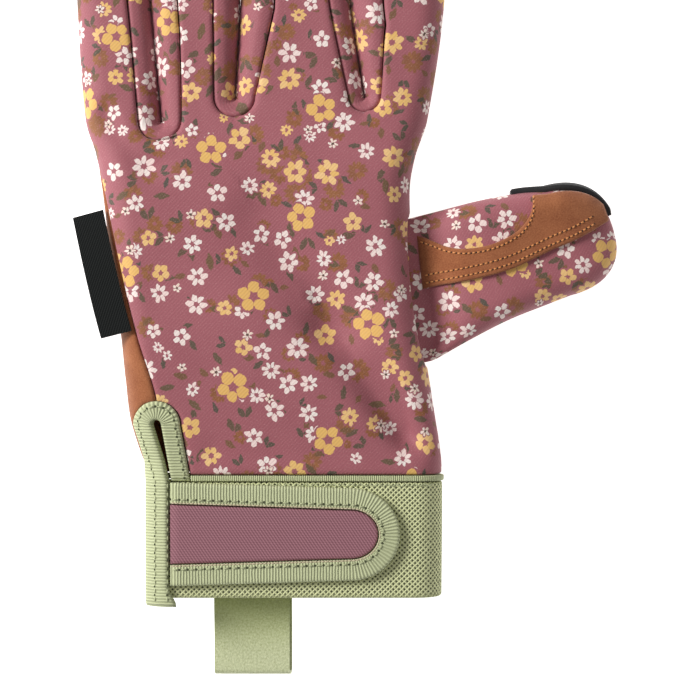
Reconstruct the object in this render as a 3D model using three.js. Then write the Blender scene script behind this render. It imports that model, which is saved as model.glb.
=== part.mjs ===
// A left gardening glove with a printed stretch back and a suede palm, lying palm down with its
// fingers along +Y, its thumb to +X and its back up. The origin is on the underside of the palm.
// Each cloth piece is a thin wall on one common skin, and neighbours meet at seams with a small gap.
import * as THREE from 'three';

// Sizes of the hand, in millimetres
const palmWidth = 100;
const palmLength = 104.5;
const wristDrop = 43.5;
const palmThick = 18;
const sideRoll = 9;
const clothWall = 1.2;
const suedeWall = 1.3;
const seamGap = 0.3;
const seamIn = 6.4;
const foldWidth = 6;
const foldDepth = 2;

// Sizes of the fingers and of the gussets between them
const littleLength = 52;
const ringLength = 72.5;
const middleLength = 82;
const indexLength = 70;
const forkSlit = 0.9;
const gussetShown = 7;
const gussetUnder = 5;

// Sizes of the thumb, its hole, its suede patch and the guard round its tip
const thumbLength = 60;
const thumbWidth = 43;
const thumbThick = 14;
const thumbRoll = 6.5;
const thumbTurn = 14.3;
const thumbRise = 54.8;
const thumbTuck = 3;
const holeWidth = thumbWidth;
const holeDeep = 2;
const patchWall = 1.2;
const edgeShown = 1.8;
const edgeUnder = 2.6;
const edgeWall = 1.2;

// Sizes of the wrist: elastic cuff, trim, bound vent and closing strap
const cuffLength = 33.5;
const cuffWall = 1.6;
const trimHeight = 1.6;
const trimWall = 2;
const trimProud = 0.5;
const ventLength = 16.2;
const ventWidth = 2.8;
const ventFoot = 6.4;
const bindingWidth = 5.4;
const bindingWall = 2;
const bindingProud = 0.6;
const tailLength = 2.4;
const strapLength = 65.6;
const strapWidth = 29.6;
const strapEndWidth = 26.4;
const strapRound = 14;
const strapWall = 1.6;
const strapBinding = 6;
const strapBindingWall = 2.1;

// Sizes of the woven side label and of the ribbon loop at the wrist opening
const labelWidth = 9.4;
const labelLength = 36;
const labelWall = 1;
const labelFall = 12;
const labelRise = 43.2;
const loopWidth = 22;
const loopLength = 24;
const loopTuck = 9;
const loopSpace = 1;
const loopCentre = -5;
const ribbonWall = 1.1;

// Outline of the hand from the wrist opening to the knuckles. up is a share of the palm's length
// above the wrist line, left and right of its width, thick of its thickness and roll of sideRoll.
const handRows = [
  { up: -0.33, left: -0.353, right: 0.498, thick: 0.86, roll: 0.85 },
  { up: 0.00, left: -0.348, right: 0.500, thick: 0.86, roll: 0.85 },
  { up: 0.08, left: -0.378, right: 0.496, thick: 0.88, roll: 0.90 },
  { up: 0.17, left: -0.406, right: 0.481, thick: 0.92, roll: 0.95 },
  { up: 0.28, left: -0.420, right: 0.463, thick: 0.97, roll: 1.00 },
  { up: 0.40, left: -0.433, right: 0.443, thick: 1.00, roll: 1.00 },
  { up: 0.60, left: -0.462, right: 0.418, thick: 1.00, roll: 1.00 },
  { up: 0.80, left: -0.486, right: 0.406, thick: 1.00, roll: 1.00 },
  { up: 0.90, left: -0.505, right: 0.423, thick: 0.95, roll: 0.95 },
  { up: 1.00, left: -0.537, right: 0.458, thick: 0.86, roll: 0.90 },
  { up: 1.12, left: -0.548, right: 0.476, thick: 0.79, roll: 0.85 },
];

// Sides of each finger at two places: at midUp, a share of its length, and where its round tip
// begins. The sides are shares of the palm's width.
const fingerRows = [
  { length: littleLength, midUp: 0.66, midLeft: -0.563, midRight: -0.352, capLeft: -0.560, capRight: -0.370 },
  { length: ringLength, midUp: 0.48, midLeft: -0.344, midRight: -0.094, capLeft: -0.342, capRight: -0.118 },
  { length: middleLength, midUp: 0.42, midLeft: -0.081, midRight: 0.226, capLeft: -0.070, capRight: 0.185 },
  { length: indexLength, midUp: 0.50, midLeft: 0.237, midRight: 0.508, capLeft: 0.254, capRight: 0.500 },
];

// Forks between the fingers: at is a share of the palm's width and up of its length. left, below and
// right are how far the gusset shows on each side of the slit, as shares of gussetShown.
const forkRows = [
  { name: 'gusset_little_ring', at: -0.316, up: 0.995, left: 0.80, below: 0.80, right: 1.08 },
  { name: 'gusset_ring_middle', at: -0.102, up: 1.060, left: 0.97, below: 0.76, right: 1.36 },
  { name: 'gusset_middle_index', at: 0.273, up: 1.063, left: 0.76, below: 0.56, right: 1.28 },
];

// The seam on the little finger's side climbs from the edge onto the back: in is a share of seamIn
const seamRows = [
  { up: -0.33, in: 1.40 },
  { up: 0.22, in: 1.40 },
  { up: 0.40, in: 0.78 },
  { up: 0.60, in: 0.42 },
  { up: 0.88, in: 0.00 },
  { up: 1.20, in: 0.00 },
];

// Folds that sink into the back, each from one place to another. at is a share of the palm's width, up
// of its length above the wrist line, wide of foldWidth and deep of foldDepth, there and at the end.
const foldRows = [
  { at: -0.02, up: 0.72, endAt: 0.17, endUp: 0.43, wide: 1.9, endWide: 1.4, deep: 0.25, endDeep: 0.45 },
  { at: 0.17, up: 0.43, endAt: 0.40, endUp: 0.10, wide: 1.3, endWide: 0.8, deep: 0.35, endDeep: 0.95 },
  { at: -0.47, up: 1.01, endAt: -0.34, endUp: 0.89, wide: 0.6, endWide: 0.8, deep: 0.60, endDeep: 0.45 },
  { at: -0.20, up: 0.01, endAt: 0.18, endUp: 0.00, wide: 1.0, endWide: 1.0, deep: 0.70, endDeep: 0.55 },
];

// Sides of the thumb along its axis: up is a share of its length, low and high of its width. middle and
// top are the heights of its side seams and of its back, as shares of its thickness.
const thumbRows = [
  { up: 0.00, low: -0.480, high: 0.488, middle: 0.643, top: 0.80 },
  { up: 0.20, low: -0.405, high: 0.490, middle: 0.540, top: 0.90 },
  { up: 0.40, low: -0.342, high: 0.492, middle: 0.500, top: 1.00 },
  { up: 0.60, low: -0.305, high: 0.475, middle: 0.500, top: 1.00 },
  { up: 0.72, low: -0.285, high: 0.448, middle: 0.500, top: 1.00 },
];
const thumbTipAt = 0.04;
const thumbTipLow = 2.3;
const thumbTipHigh = 2.5;

// Edges of the thumb's suede patch: up is a share of the thumb's length, low and high of its width
const patchRows = [
  { up: 0.00, low: 0.005, high: 0.380 },
  { up: 0.09, low: 0.000, high: 0.310 },
  { up: 0.17, low: -0.010, high: 0.240 },
  { up: 0.26, low: -0.018, high: 0.195 },
  { up: 0.38, low: -0.022, high: 0.178 },
  { up: 0.49, low: -0.010, high: 0.200 },
  { up: 0.57, low: 0.012, high: 0.250 },
  { up: 0.63, low: 0.028, high: 0.345 },
  { up: 0.67, low: 0.040, high: 0.500 },
  { up: 0.80, low: 0.070, high: 0.500 },
  { up: 0.97, low: 0.140, high: 0.500 },
];
const edgeFrom = 0.56;
const edgeTo = 0.82;

// How finely the walls are faceted
const fingerColumns = 5;
const forkTurns = 3;
const sideSteps = 5;
const capSteps = 3;
const holeSteps = 8;
const gussetColumns = 6;
const thumbSteps = 5;
const arcSteps = 6;

const quarter = Math.PI / 2;
const halfGap = seamGap / 2;
const { lerp, clamp, smoothstep, degToRad } = THREE.MathUtils;
const steps = (count) => Array.from({ length: count + 1 }, (_, i) => i / count);

// Value of a table's column at a place along it, on a smooth curve through the rows
function along(rows, at, column) {
  const last = rows.length - 1;
  let i = 0;
  while (i < last - 1 && at > rows[i + 1].up) i += 1;
  const [from, to] = [rows[i], rows[i + 1]];
  const step = to.up - from.up;
  const slope = (a, b) => (b[column] - a[column]) / (b.up - a.up) * step;
  const slopeFrom = slope(rows[Math.max(i - 1, 0)], to);
  const slopeTo = slope(from, rows[Math.min(i + 2, last)]);
  const t = clamp((at - from.up) / step, 0, 1);
  const u = 1 - t;
  return from[column] * (1 + 2 * t) * u * u + slopeFrom * t * u * u
    + to[column] * (3 - 2 * t) * t * t - slopeTo * t * t * u;
}

const rise = (share) => share * palmLength - wristDrop;
const shareUp = (y) => (y + wristDrop) / palmLength;
const forks = forkRows.map((row) => ({ ...row, x: row.at * palmWidth, y: rise(row.up) }));
const fingers = fingerRows.map((row) => {
  const [capLeft, capRight] = [row.capLeft * palmWidth, row.capRight * palmWidth];
  const tipY = rise(1) + row.length;
  const midY = lerp(rise(1), tipY, row.midUp);
  return { ...row, capLeft, capRight, tipY, midY, capY: tipY - (capRight - capLeft) / 2 };
});

// A sleeve is a flattened tube with round sides. It gives, at a place along it, its two sides, the
// heights of its side seams and of its top, its roll, and how far its round tip has closed.
const fingerEnd = (finger, mid, cap) => [
  { up: finger.midY, x: finger[mid] * palmWidth },
  { up: finger.capY, x: finger[cap] },
];
const outerSide = (column, finger, mid, cap) => {
  const lower = handRows.filter((row) => row.up <= 1);
  const rows = lower.map((row) => ({ up: rise(row.up), x: row[column] * palmWidth }));
  return (y) => along([...rows, ...fingerEnd(finger, mid, cap)], y, 'x');
};
const slitSide = (fork, towards, finger, mid, cap) => {
  const rows = [{ up: fork.y, x: fork.x + towards * forkSlit / 2 }, ...fingerEnd(finger, mid, cap)];
  return (y) => along(rows, y, 'x');
};
const hand = {
  left: outerSide('left', fingers[0], 'midLeft', 'capLeft'),
  right: outerSide('right', fingers[3], 'midRight', 'capRight'),
  top: (y) => along(handRows, shareUp(y), 'thick') * palmThick,
  middle: (y) => along(handRows, shareUp(y), 'thick') * palmThick / 2,
  roll: (y) => along(handRows, shareUp(y), 'roll') * sideRoll,
  closed: () => 0,
  place: (y, x, z) => new THREE.Vector3(x, y, z),
};
const fingerSleeves = fingers.map((finger, f) => ({
  ...hand,
  tipAt: (finger.capLeft + finger.capRight) / 2,
  round: () => 2,
  left: f === 0 ? hand.left : slitSide(forks[f - 1], 1, finger, 'midLeft', 'capLeft'),
  right: f === 3 ? hand.right : slitSide(forks[f], -1, finger, 'midRight', 'capRight'),
  closed: (y) => clamp((y - finger.capY) / (finger.tipY - finger.capY), 0, 1),
}));
const thumbCap = thumbRows.at(-1).up * thumbLength;
const thumb = {
  tipAt: thumbTipAt * thumbWidth,
  round: (side) => (side < 0 ? thumbTipLow : thumbTipHigh),
  left: (u) => along(thumbRows, u / thumbLength, 'low') * thumbWidth,
  right: (u) => along(thumbRows, u / thumbLength, 'high') * thumbWidth,
  top: (u) => along(thumbRows, u / thumbLength, 'top') * thumbThick,
  middle: (u) => along(thumbRows, u / thumbLength, 'middle') * thumbThick,
  roll: () => thumbRoll,
  closed: (u) => clamp((u - thumbCap) / (thumbLength - thumbCap), 0, 1),
  place: (u, v, z) => new THREE.Vector3(u, v, z),
};

// Where a sleeve's side lies, drawn in as its tip closes. side is -1 for the left and 1 for the right.
function sideOf(sleeve, at, side) {
  const open = side < 0 ? sleeve.left(at) : sleeve.right(at);
  const closed = sleeve.closed(at);
  if (closed === 0) return open;
  const round = sleeve.round(side);
  return sleeve.tipAt + (open - sleeve.tipAt) * (1 - closed ** round) ** (1 / round);
}

const widthOf = (sleeve, at) => sideOf(sleeve, at, 1) - sideOf(sleeve, at, -1);
const rollOf = (sleeve, at) => Math.min(sleeve.roll(at), widthOf(sleeve, at) * 0.49);
const girthOf = (sleeve, at) => widthOf(sleeve, at) - 2 * rollOf(sleeve, at) * (1 - quarter);

// Distance over the skin from a side seam, for the distance from the side that is seen from above
const reachOf = (roll, seen) => {
  if (seen >= roll) return roll * quarter + seen - roll;
  return roll * Math.acos(1 - Math.max(seen, 0) / roll);
};

// A point of a sleeve's skin with the point behind it on the inner face. reach is the distance over
// the skin from the side seam, and face is 1 for the top or -1 for the underside.
function rollPoint(sleeve, at, side, reach, face, wall, proud = 0) {
  const roll = rollOf(sleeve, at);
  const bend = roll > 0 ? Math.min(reach / roll, quarter) : 0;
  const flat = roll > 0 ? Math.max(reach - roll * quarter, 0) : 0;
  const across = sideOf(sleeve, at, side) - side * (roll * (1 - Math.cos(bend)) + flat);
  const closed = sleeve.closed(at);
  const open = Math.sqrt(1 - closed * closed);
  const middle = sleeve.middle(at);
  const depth = (face > 0 ? sleeve.top(at) - middle : middle) * open;
  const z = middle + face * (depth * Math.sin(bend) + halfGap * closed);
  const normal = [closed, side * Math.cos(bend) * open, face * Math.sin(bend) * open];
  const step = (by) => sleeve.place(at + normal[0] * by, across + normal[1] * by, z + normal[2] * by);
  return { out: step(proud), in: step(proud - wall) };
}

// A point of a sleeve's top at a place across it, as seen from above
function topPoint(sleeve, at, across, wall, proud = 0) {
  const fromLeft = across - sideOf(sleeve, at, -1);
  const fromRight = sideOf(sleeve, at, 1) - across;
  const side = fromLeft < fromRight ? -1 : 1;
  const reach = reachOf(rollOf(sleeve, at), Math.min(fromLeft, fromRight));
  return rollPoint(sleeve, at, side, reach, 1, wall, proud);
}

// A point of a sleeve at a reach counted from the left side seam right across one face
function acrossPoint(sleeve, at, reach, face, wall, proud = 0) {
  const girth = girthOf(sleeve, at);
  return reach < girth / 2 ? rollPoint(sleeve, at, -1, reach, face, wall, proud)
    : rollPoint(sleeve, at, 1, girth - reach, face, wall, proud);
}

// A point of the skin round a fork. turn is 0 below the slit and a quarter turn beside it.
function forkPoint(fork, turn, side, reach, face, wall) {
  const roll = hand.roll(fork.y);
  const bend = Math.min(reach / roll, quarter);
  const far = forkSlit / 2 + roll * (1 - Math.cos(bend)) + Math.max(reach - roll * quarter, 0);
  const [x, y] = [fork.x + side * Math.sin(turn) * far, fork.y - Math.cos(turn) * far];
  const out = new THREE.Vector3(x, y, hand.middle(y) * (1 + face * Math.sin(bend)));
  const lean = Math.cos(bend);
  const normal = [-side * Math.sin(turn) * lean, Math.cos(turn) * lean, face * Math.sin(bend)];
  return { out, in: out.clone().addScaledVector(new THREE.Vector3(...normal), -wall) };
}

// A point of the hand's skin near the forks, where the skin dips towards each slit
function dipPoint(x, y, face, wall) {
  const far = Math.min(...forks.map((fork) => Math.hypot(x - fork.x, y - fork.y))) - forkSlit / 2;
  const bend = Math.acos(clamp(1 - far / hand.roll(y), 0, 1));
  const out = new THREE.Vector3(x, y, hand.middle(y) * (1 + face * Math.sin(bend)));
  return { out, in: out.clone().setZ(out.z - face * wall) };
}

// One solid wall from patches of rows of paired points. Points that coincide are joined, so patches
// grow together. The open edges are closed by a rim, which is cut alike on the two sides of a seam.
function cloth(patches) {
  const outer = [];
  const inner = [];
  const known = new Map();
  const indexOf = (point) => {
    const key = point.out.toArray().map((c) => Math.round(c * 1e3)).join();
    if (!known.has(key)) {
      known.set(key, outer.length);
      outer.push(point.out);
      inner.push(point.in);
    }
    return known.get(key);
  };
  const faces = [];
  for (const rows of patches) {
    for (let r = 0; r + 1 < rows.length; r += 1) {
      for (let c = 0; c + 1 < rows[r].length; c += 1) {
        const corners = [rows[r][c], rows[r][c + 1], rows[r + 1][c + 1], rows[r + 1][c]];
        const [i, j, k, l] = corners.map(indexOf);
        faces.push([i, j, k], [i, k, l]);
      }
    }
  }
  const whole = faces.filter(([i, j, k]) => i !== j && j !== k && k !== i);
  const outwards = whole.reduce((sum, [i, j, k]) => {
    const normal = outer[j].clone().sub(outer[i]).cross(outer[k].clone().sub(outer[i]));
    return sum + normal.dot(outer[i].clone().sub(inner[i]));
  }, 0);
  const turned = outwards > 0 ? whole : whole.map(([i, j, k]) => [i, k, j]);
  const count = outer.length;
  const triangles = turned.flatMap(([i, j, k]) => [i, j, k, count + i, count + k, count + j]);
  const edges = new Set(turned.flatMap(([i, j, k]) => [`${i},${j}`, `${j},${k}`, `${k},${i}`]));
  for (const edge of edges) {
    const [i, j] = edge.split(',').map(Number);
    if (edges.has(`${j},${i}`)) continue;
    if (outer[i].y < outer[j].y) triangles.push(j, i, count + i, j, count + i, count + j);
    else triangles.push(j, i, count + j, i, count + i, count + j);
  }
  const geometry = new THREE.BufferGeometry();
  const places = [...outer, ...inner].flatMap((point) => point.toArray());
  geometry.setAttribute('position', new THREE.Float32BufferAttribute(places, 3));
  geometry.setIndex(triangles);
  return geometry;
}

function piece(name, color, roughness, ...patches) {
  const material = new THREE.MeshStandardMaterial({ color, roughness, metalness: 0 });
  const mesh = new THREE.Mesh(cloth(patches), material);
  mesh.name = name;
  return mesh;
}

// The vent is a teardrop slit from the wrist line up the little finger's side. Its axis leans, and a
// binding goes up one side of it, round its top and down the other.
const seamX = (y) => hand.left(y) + along(seamRows, shareUp(y), 'in') * seamIn;
const ventRound = ventWidth / 2 + bindingWidth;
const ventTopY = ventLength - wristDrop;
const ventTopX = seamX(ventTopY + ventRound);
const ventFootX = hand.left(-wristDrop) + ventFoot;
const ventUp = (y) => clamp((y + wristDrop) / ventLength, 0, 1);
const ventAxis = (y) => lerp(ventFootX, ventTopX, ventUp(y));
const ventHalf = (y) => lerp(seamGap, ventWidth / 2, ventUp(y));
const bindingEdge = (y, side) => {
  const over = clamp(y - ventTopY, 0, ventRound);
  const half = over > 0 ? Math.sqrt(ventRound ** 2 - over ** 2) : ventHalf(y) + bindingWidth;
  return Math.max(ventAxis(y) + side * half, hand.left(y) + seamGap);
};

// Reach of each panel's edge on the little finger's side: the seam, or the vent's binding beside it
function leftEdge(y, face) {
  const seam = reachOf(hand.roll(y), seamX(y) - hand.left(y)) + face * halfGap;
  if (y - ventTopY > ventRound) return face * seam;
  const binding = reachOf(hand.roll(y), bindingEdge(y, face) - hand.left(y)) + face * seamGap;
  return face > 0 ? Math.max(seam, binding) : -Math.min(seam, binding);
}

// The thumb's hole in the side of the hand: the back arches over it, and the palm is cut in under it
const holeY = (share) => rise(0) + thumbRise - holeWidth / 2 * Math.cos(Math.PI * share);
const holeShare = (y) => Math.acos(clamp((rise(0) + thumbRise - y) * 2 / holeWidth, -1, 1)) / Math.PI;
const holeRise = 0.36;
const holeEdge = (y, face) => {
  const open = Math.sin(Math.PI * holeShare(y));
  const arc = hand.roll(y) * quarter;
  return face > 0 ? Math.sqrt(open) * arc * holeRise : open * (arc + holeDeep);
};

// Places along a slit from its fork to a finger's tip, and how much of the gusset is left at each
const slitSteps = (finger, from) => [
  ...steps(sideSteps).slice(0, -1).map((share) => lerp(from, finger.capY, share)),
  ...steps(capSteps).map((share) => lerp(finger.capY, finger.tipY, Math.sin(quarter * share))),
];
const gussetLeft = (i) => clamp((sideSteps + 1 - i) / 2, 0, 1);
const gussetReach = (fork, i, side, face) => {
  const shown = lerp(fork.below, side < 0 ? fork.left : fork.right, Math.min(i / 2, 1)) * gussetShown;
  return reachOf(hand.roll(fork.y), face > 0 ? shown : gussetUnder) * gussetLeft(i);
};

// A row across one finger, from its left edge to its right edge
function fingerRow(f, i, face, wall) {
  const sleeve = fingerSleeves[f];
  const [left, right] = [forks[f - 1], forks[f]];
  const from = [left ?? right, right ?? left];
  const [fromLeft, fromRight] = from.map((fork) => slitSteps(fingers[f], fork.y)[i]);
  const leftReach = (left ? gussetReach(left, i, 1, face) : 0) + halfGap;
  const rightReach = (right ? gussetReach(right, i, -1, face) : 0) + halfGap;
  return steps(fingerColumns).map((share) => {
    const at = lerp(fromLeft, fromRight, share);
    return acrossPoint(sleeve, at, lerp(leftReach, girthOf(sleeve, at) - rightReach, share), face, wall);
  });
}

// A row across a finger's foot, between the round parts of the seams on its two sides
function footRow(f, i, face, wall) {
  const turn = quarter * i / forkTurns;
  const [left, right] = [forks[f - 1], forks[f]];
  const seam = (fork, side) => {
    const reach = gussetReach(fork, 0, side, face) + halfGap;
    return forkPoint(fork, turn, side, reach, face, wall);
  };
  const from = left && seam(left, 1);
  const to = right && seam(right, -1);
  return steps(fingerColumns).map((share) => {
    if (share === 0 && from) return from;
    if (share === 1 && to) return to;
    const y = lerp((from ?? to).out.y, (to ?? from).out.y, share);
    if (from && to) return dipPoint(lerp(from.out.x, to.out.x, share), y, face, wall);
    const side = from ? 1 : -1;
    const inner = reachOf(hand.roll(y), Math.abs((from ?? to).out.x - sideOf(hand, y, side)));
    return rollPoint(hand, y, side, lerp(halfGap, inner, from ? 1 - share : share), face, wall);
  });
}

// Heights of a panel's rows below the fingers: along the vent's binding, then along the thumb's hole
const panelFoot = rise(0) + trimHeight + seamGap;
const panelShoulder = rise(0.85);
const panelRows = [
  panelFoot,
  lerp(panelFoot, ventTopY, 0.5),
  ...[0, 0.33, 0.67, 1].map((share) => ventTopY + ventRound * Math.sin(quarter * share)),
  ventTopY + ventRound + seamGap,
  ...steps(holeSteps).map(holeY),
  panelShoulder,
];

// How far the folds sink the back at a place
const foldAt = (x, y) => foldRows.reduce((sum, row) => {
  const from = new THREE.Vector2(row.at * palmWidth, rise(row.up));
  const run = new THREE.Vector2(row.endAt * palmWidth, rise(row.endUp)).sub(from);
  const to = new THREE.Vector2(x, y).sub(from);
  const t = clamp(to.dot(run) / run.lengthSq(), 0, 1);
  const far = to.addScaledVector(run, -t).length() / (lerp(row.wide, row.endWide, t) * foldWidth);
  return sum + lerp(row.deep, row.endDeep, t) * foldDepth * Math.exp(-far * far);
}, 0);

// Sinks a point of the back into its folds, but not where it is sewn at its sides or at a fork
function folded(point, toSide) {
  const { x, y } = point.out;
  const toFork = Math.min(...forks.map((fork) => Math.hypot(x - fork.x, y - fork.y)));
  const free = smoothstep(toSide, foldWidth / 3, foldWidth * 2);
  const sink = foldAt(x, y) * free * smoothstep(toFork, gussetShown, foldWidth * 2);
  return { out: point.out.clone().setZ(point.out.z - sink), in: point.in.clone().setZ(point.in.z - sink) };
}

// One side of the hand with its four fingers, up to the seams that bound it
function handPanel(face, wall) {
  const fingerPatches = fingers.map((_, f) => [
    ...steps(forkTurns).slice(0, -1).map((_share, i) => footRow(f, i, face, wall)),
    ...steps(sideSteps + capSteps).map((_share, i) => fingerRow(f, i, face, wall)),
  ]);
  const foot = fingerPatches.flatMap((rows, f) => (f === 0 ? rows[0] : rows[0].slice(1)));
  const places = foot.map(({ out }) => {
    const [fromLeft, fromRight] = [out.x - hand.left(out.y), hand.right(out.y) - out.x];
    const [roll, girth] = [hand.roll(out.y), girthOf(hand, out.y)];
    return fromLeft < fromRight ? reachOf(roll, fromLeft) / girth : 1 - reachOf(roll, fromRight) / girth;
  });
  const rowAt = (height) => places.map((place, c) => {
    const y = height(foot[c].out.y);
    const share = (place - places[0]) / (places.at(-1) - places[0]);
    const [left, right] = [leftEdge(y, face), girthOf(hand, y) - holeEdge(y, face) - halfGap];
    const point = acrossPoint(hand, y, lerp(left, right, share), face, wall);
    return face > 0 ? folded(point, Math.min(share, 1 - share) * (right - left)) : point;
  });
  const palm = [...panelRows.map((y) => rowAt(() => y)), rowAt((y) => lerp(panelShoulder, y, 0.6)), foot];
  return [palm, ...fingerPatches];
}

// A gusset runs down the side of one finger, round the fork and up the side of the next
function gussetPatch(fork, f) {
  const last = sideSteps + 1;
  const reaches = (i, side) => [-1, 1].map((face) => (
    face * Math.max(gussetReach(fork, i, side, face) - seamGap, 0)));
  const spread = (ends, point) => steps(gussetColumns).map((share) => {
    const reach = lerp(ends[0], ends[1], share);
    return point(Math.abs(reach), reach < 0 ? -1 : 1);
  });
  const sideRow = (i, side) => {
    const finger = side < 0 ? f : f + 1;
    const at = slitSteps(fingers[finger], fork.y)[i];
    return spread(reaches(i, side), (reach, face) => (
      rollPoint(fingerSleeves[finger], at, -side, reach, face, clothWall)));
  };
  const turnRow = (share) => spread(reaches(0, 1), (reach, face) => (
    forkPoint(fork, quarter * Math.abs(2 * share - 1), Math.sign(share - 0.5), reach, face, clothWall)));
  return [
    ...steps(last).map((_share, i) => sideRow(last - i, -1)),
    ...steps(2 * forkTurns).slice(1, -1).map(turnRow),
    ...steps(last).map((_share, i) => sideRow(i, 1)),
  ];
}

// The thumb is built along its own axis from a root on the side of the hand
const thumbRoot = new THREE.Vector3(hand.right(rise(0) + thumbRise), rise(0) + thumbRise, 0);
const upAxis = new THREE.Vector3(0, 0, 1);
const toThumb = (point) => point.clone().sub(thumbRoot).applyAxisAngle(upAxis, -degToRad(thumbTurn));
const [holeLow, holeHigh] = [holeY(0), holeY(1)].map((y) => toThumb(new THREE.Vector3(hand.right(y), y, 0)));
const rootAt = (v) => lerp(holeLow.x, holeHigh.x, (v - holeLow.y) / (holeHigh.y - holeLow.y));

// Rows along one face of the thumb. Those near the hand lean so that the first follows its side, and
// the lower face starts along the palm's cut edge.
function thumbPatch(face, wall) {
  const rowAt = (t, tuck) => steps(holeSteps).map((share) => {
    const across = (1 - Math.cos(Math.PI * share)) / 2;
    const root = rootAt(lerp(thumb.left(0), thumb.right(0), across)) - tuck * Math.sin(Math.PI * share);
    const at = t <= 1 ? lerp(root, thumbCap, t) : lerp(thumbCap, thumbLength, Math.sin(quarter * (t - 1)));
    return acrossPoint(thumb, at, lerp(halfGap, girthOf(thumb, at) - halfGap, across), face, wall);
  });
  const cutEdge = () => steps(holeSteps).map((share) => {
    const y = clamp(holeY(share), holeY(0) + 4 * seamGap, holeY(1) - 4 * seamGap);
    const point = rollPoint(hand, y, 1, Math.max(holeEdge(y, -1) - 3 * seamGap, 2 * seamGap), -1, wall);
    return { out: toThumb(point.out), in: toThumb(point.in) };
  });
  return [
    face > 0 ? rowAt(0, thumbTuck) : cutEdge(),
    ...steps(thumbSteps).slice(1).map((t) => rowAt(t, 0)),
    ...steps(capSteps + 1).slice(1).map((t) => rowAt(1 + t, 0)),
  ];
}

// The suede saddle on the thumb's back, from the hand's side to the tip
function saddlePatch() {
  return steps(14).map((t) => {
    const up = lerp(0.01, patchRows.at(-1).up, t);
    const [low, high] = ['low', 'high'].map((column) => along(patchRows, up, column) * thumbWidth);
    return steps(4).map((share) => {
      const at = up * thumbLength + rootAt(lerp(low, high, share)) * Math.max(1 - 3 * up, 0);
      const limit = sideOf(thumb, at, 1) - edgeShown - seamGap;
      return topPoint(thumb, at, lerp(low, Math.min(high, limit), share), patchWall, patchWall + seamGap);
    });
  });
}

// The guard round the far side of the thumb and its tip
function edgePatch() {
  const [low, high] = [-edgeUnder / thumbRoll, (reachOf(thumbRoll, edgeShown) - 2 * seamGap) / thumbRoll];
  const side = steps(4).map((t) => lerp(edgeFrom * thumbLength, thumbCap, t));
  const cap = steps(6).slice(1).map((t) => lerp(thumbCap, thumbLength, Math.sin(quarter * t * edgeTo)));
  return [...side, ...cap].map((at) => steps(4).map((share) => {
    const bend = lerp(low, high, share);
    const reach = Math.abs(bend) * rollOf(thumb, at);
    return rollPoint(thumb, at, 1, reach, bend < 0 ? -1 : 1, edgeWall, edgeWall + seamGap);
  }));
}

const pressed = (point) => ({ ...point, out: point.out.clone().setZ(Math.max(point.out.z, 0)) });

// A row round the wrist, from a reach on the left of the back round to one on the left of the palm.
// What stands proud is pressed flat where it would reach below the palm.
function wristRow(y, wall, proud, from = 0, to = 0) {
  const [girth, arc] = [girthOf(hand, y), hand.roll(y) * quarter];
  const half = [0, arc / 4, arc / 2, arc * 3 / 4, arc, girth / 2];
  const back = [...half, ...half.slice(0, -1).reverse().map((reach) => girth - reach)];
  const palm = [...back.slice(1, -1).reverse(), to];
  return [
    ...back.map((reach) => acrossPoint(hand, y, Math.max(reach, from), 1, wall, proud)),
    ...palm.map((reach) => acrossPoint(hand, y, reach, -1, wall, proud)).map(pressed),
  ];
}

const cuffTop = rise(0) - seamGap;
const cuffFoot = rise(0) - cuffLength;

// The binding starts as a tail below the cuff, runs over it, round the vent and down to the wrist line
function ventPatch() {
  const [rampTop, onCuff] = [rise(0.06), seamGap + bindingWall];
  const proudAt = (y) => lerp(bindingProud, onCuff, clamp((rampTop - y) / (rampTop - rise(0)), 0, 1));
  const limb = (y, side) => steps(4).map((share) => {
    const x = lerp(ventAxis(y) + side * ventHalf(y), bindingEdge(y, side), share);
    return topPoint(hand, y, x, bindingWall, side < 0 ? proudAt(y) : bindingProud);
  });
  const bend = (share) => steps(4).map((across) => {
    const [turn, far] = [Math.PI * (1 - share), ventWidth / 2 + bindingWidth * across];
    const [x, y] = [ventTopX + far * Math.cos(turn), ventTopY + far * Math.sin(turn)];
    return topPoint(hand, y, x, bindingWall, bindingProud);
  });
  const onStrapSide = [cuffFoot - tailLength, cuffFoot, lerp(cuffFoot, cuffTop, 0.5), cuffTop];
  return [
    ...[...onStrapSide, rise(0.03), rampTop, lerp(rampTop, ventTopY, 0.5)].map((y) => limb(y, -1)),
    ...steps(arcSteps).map(bend),
    ...[lerp(ventTopY, panelFoot, 0.5), panelFoot, rise(0)].map((y) => limb(y, 1)),
  ];
}

// The strap lies on the cuff from the binding to a round end. t is 0 at its start, 1 where it begins
// to round and 2 at its end, and margin is how far in from its edge a line runs.
const strapFrom = ventFootX + seamGap;
const strapBend = strapFrom + strapLength - strapRound;
const strapY = rise(0) - strapWidth / 2 - seamGap;
const strapStops = [...steps(3), ...steps(5).slice(1).map((t) => 1 + t)];
const strapEdge = (t, side, margin) => {
  const turn = quarter * clamp(t - 1, 0, 1);
  const half = lerp(strapWidth, strapEndWidth, Math.min(t, 1)) / 2 - margin;
  const x = lerp(strapFrom, strapBend, Math.min(t, 1)) + (strapRound - margin) * Math.sin(turn);
  return { x, y: strapY + side * half * Math.cos(turn) };
};
const onCuffTop = ({ x, y }, wall) => topPoint(hand, y, x, wall, wall + seamGap);

function strapPatch() {
  return strapStops.map((t) => steps(4).map((share) => {
    const [low, high] = [-1, 1].map((side) => strapEdge(t, side, strapBinding + seamGap));
    return onCuffTop({ x: low.x, y: lerp(low.y, high.y, share) }, strapWall);
  }));
}

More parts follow.
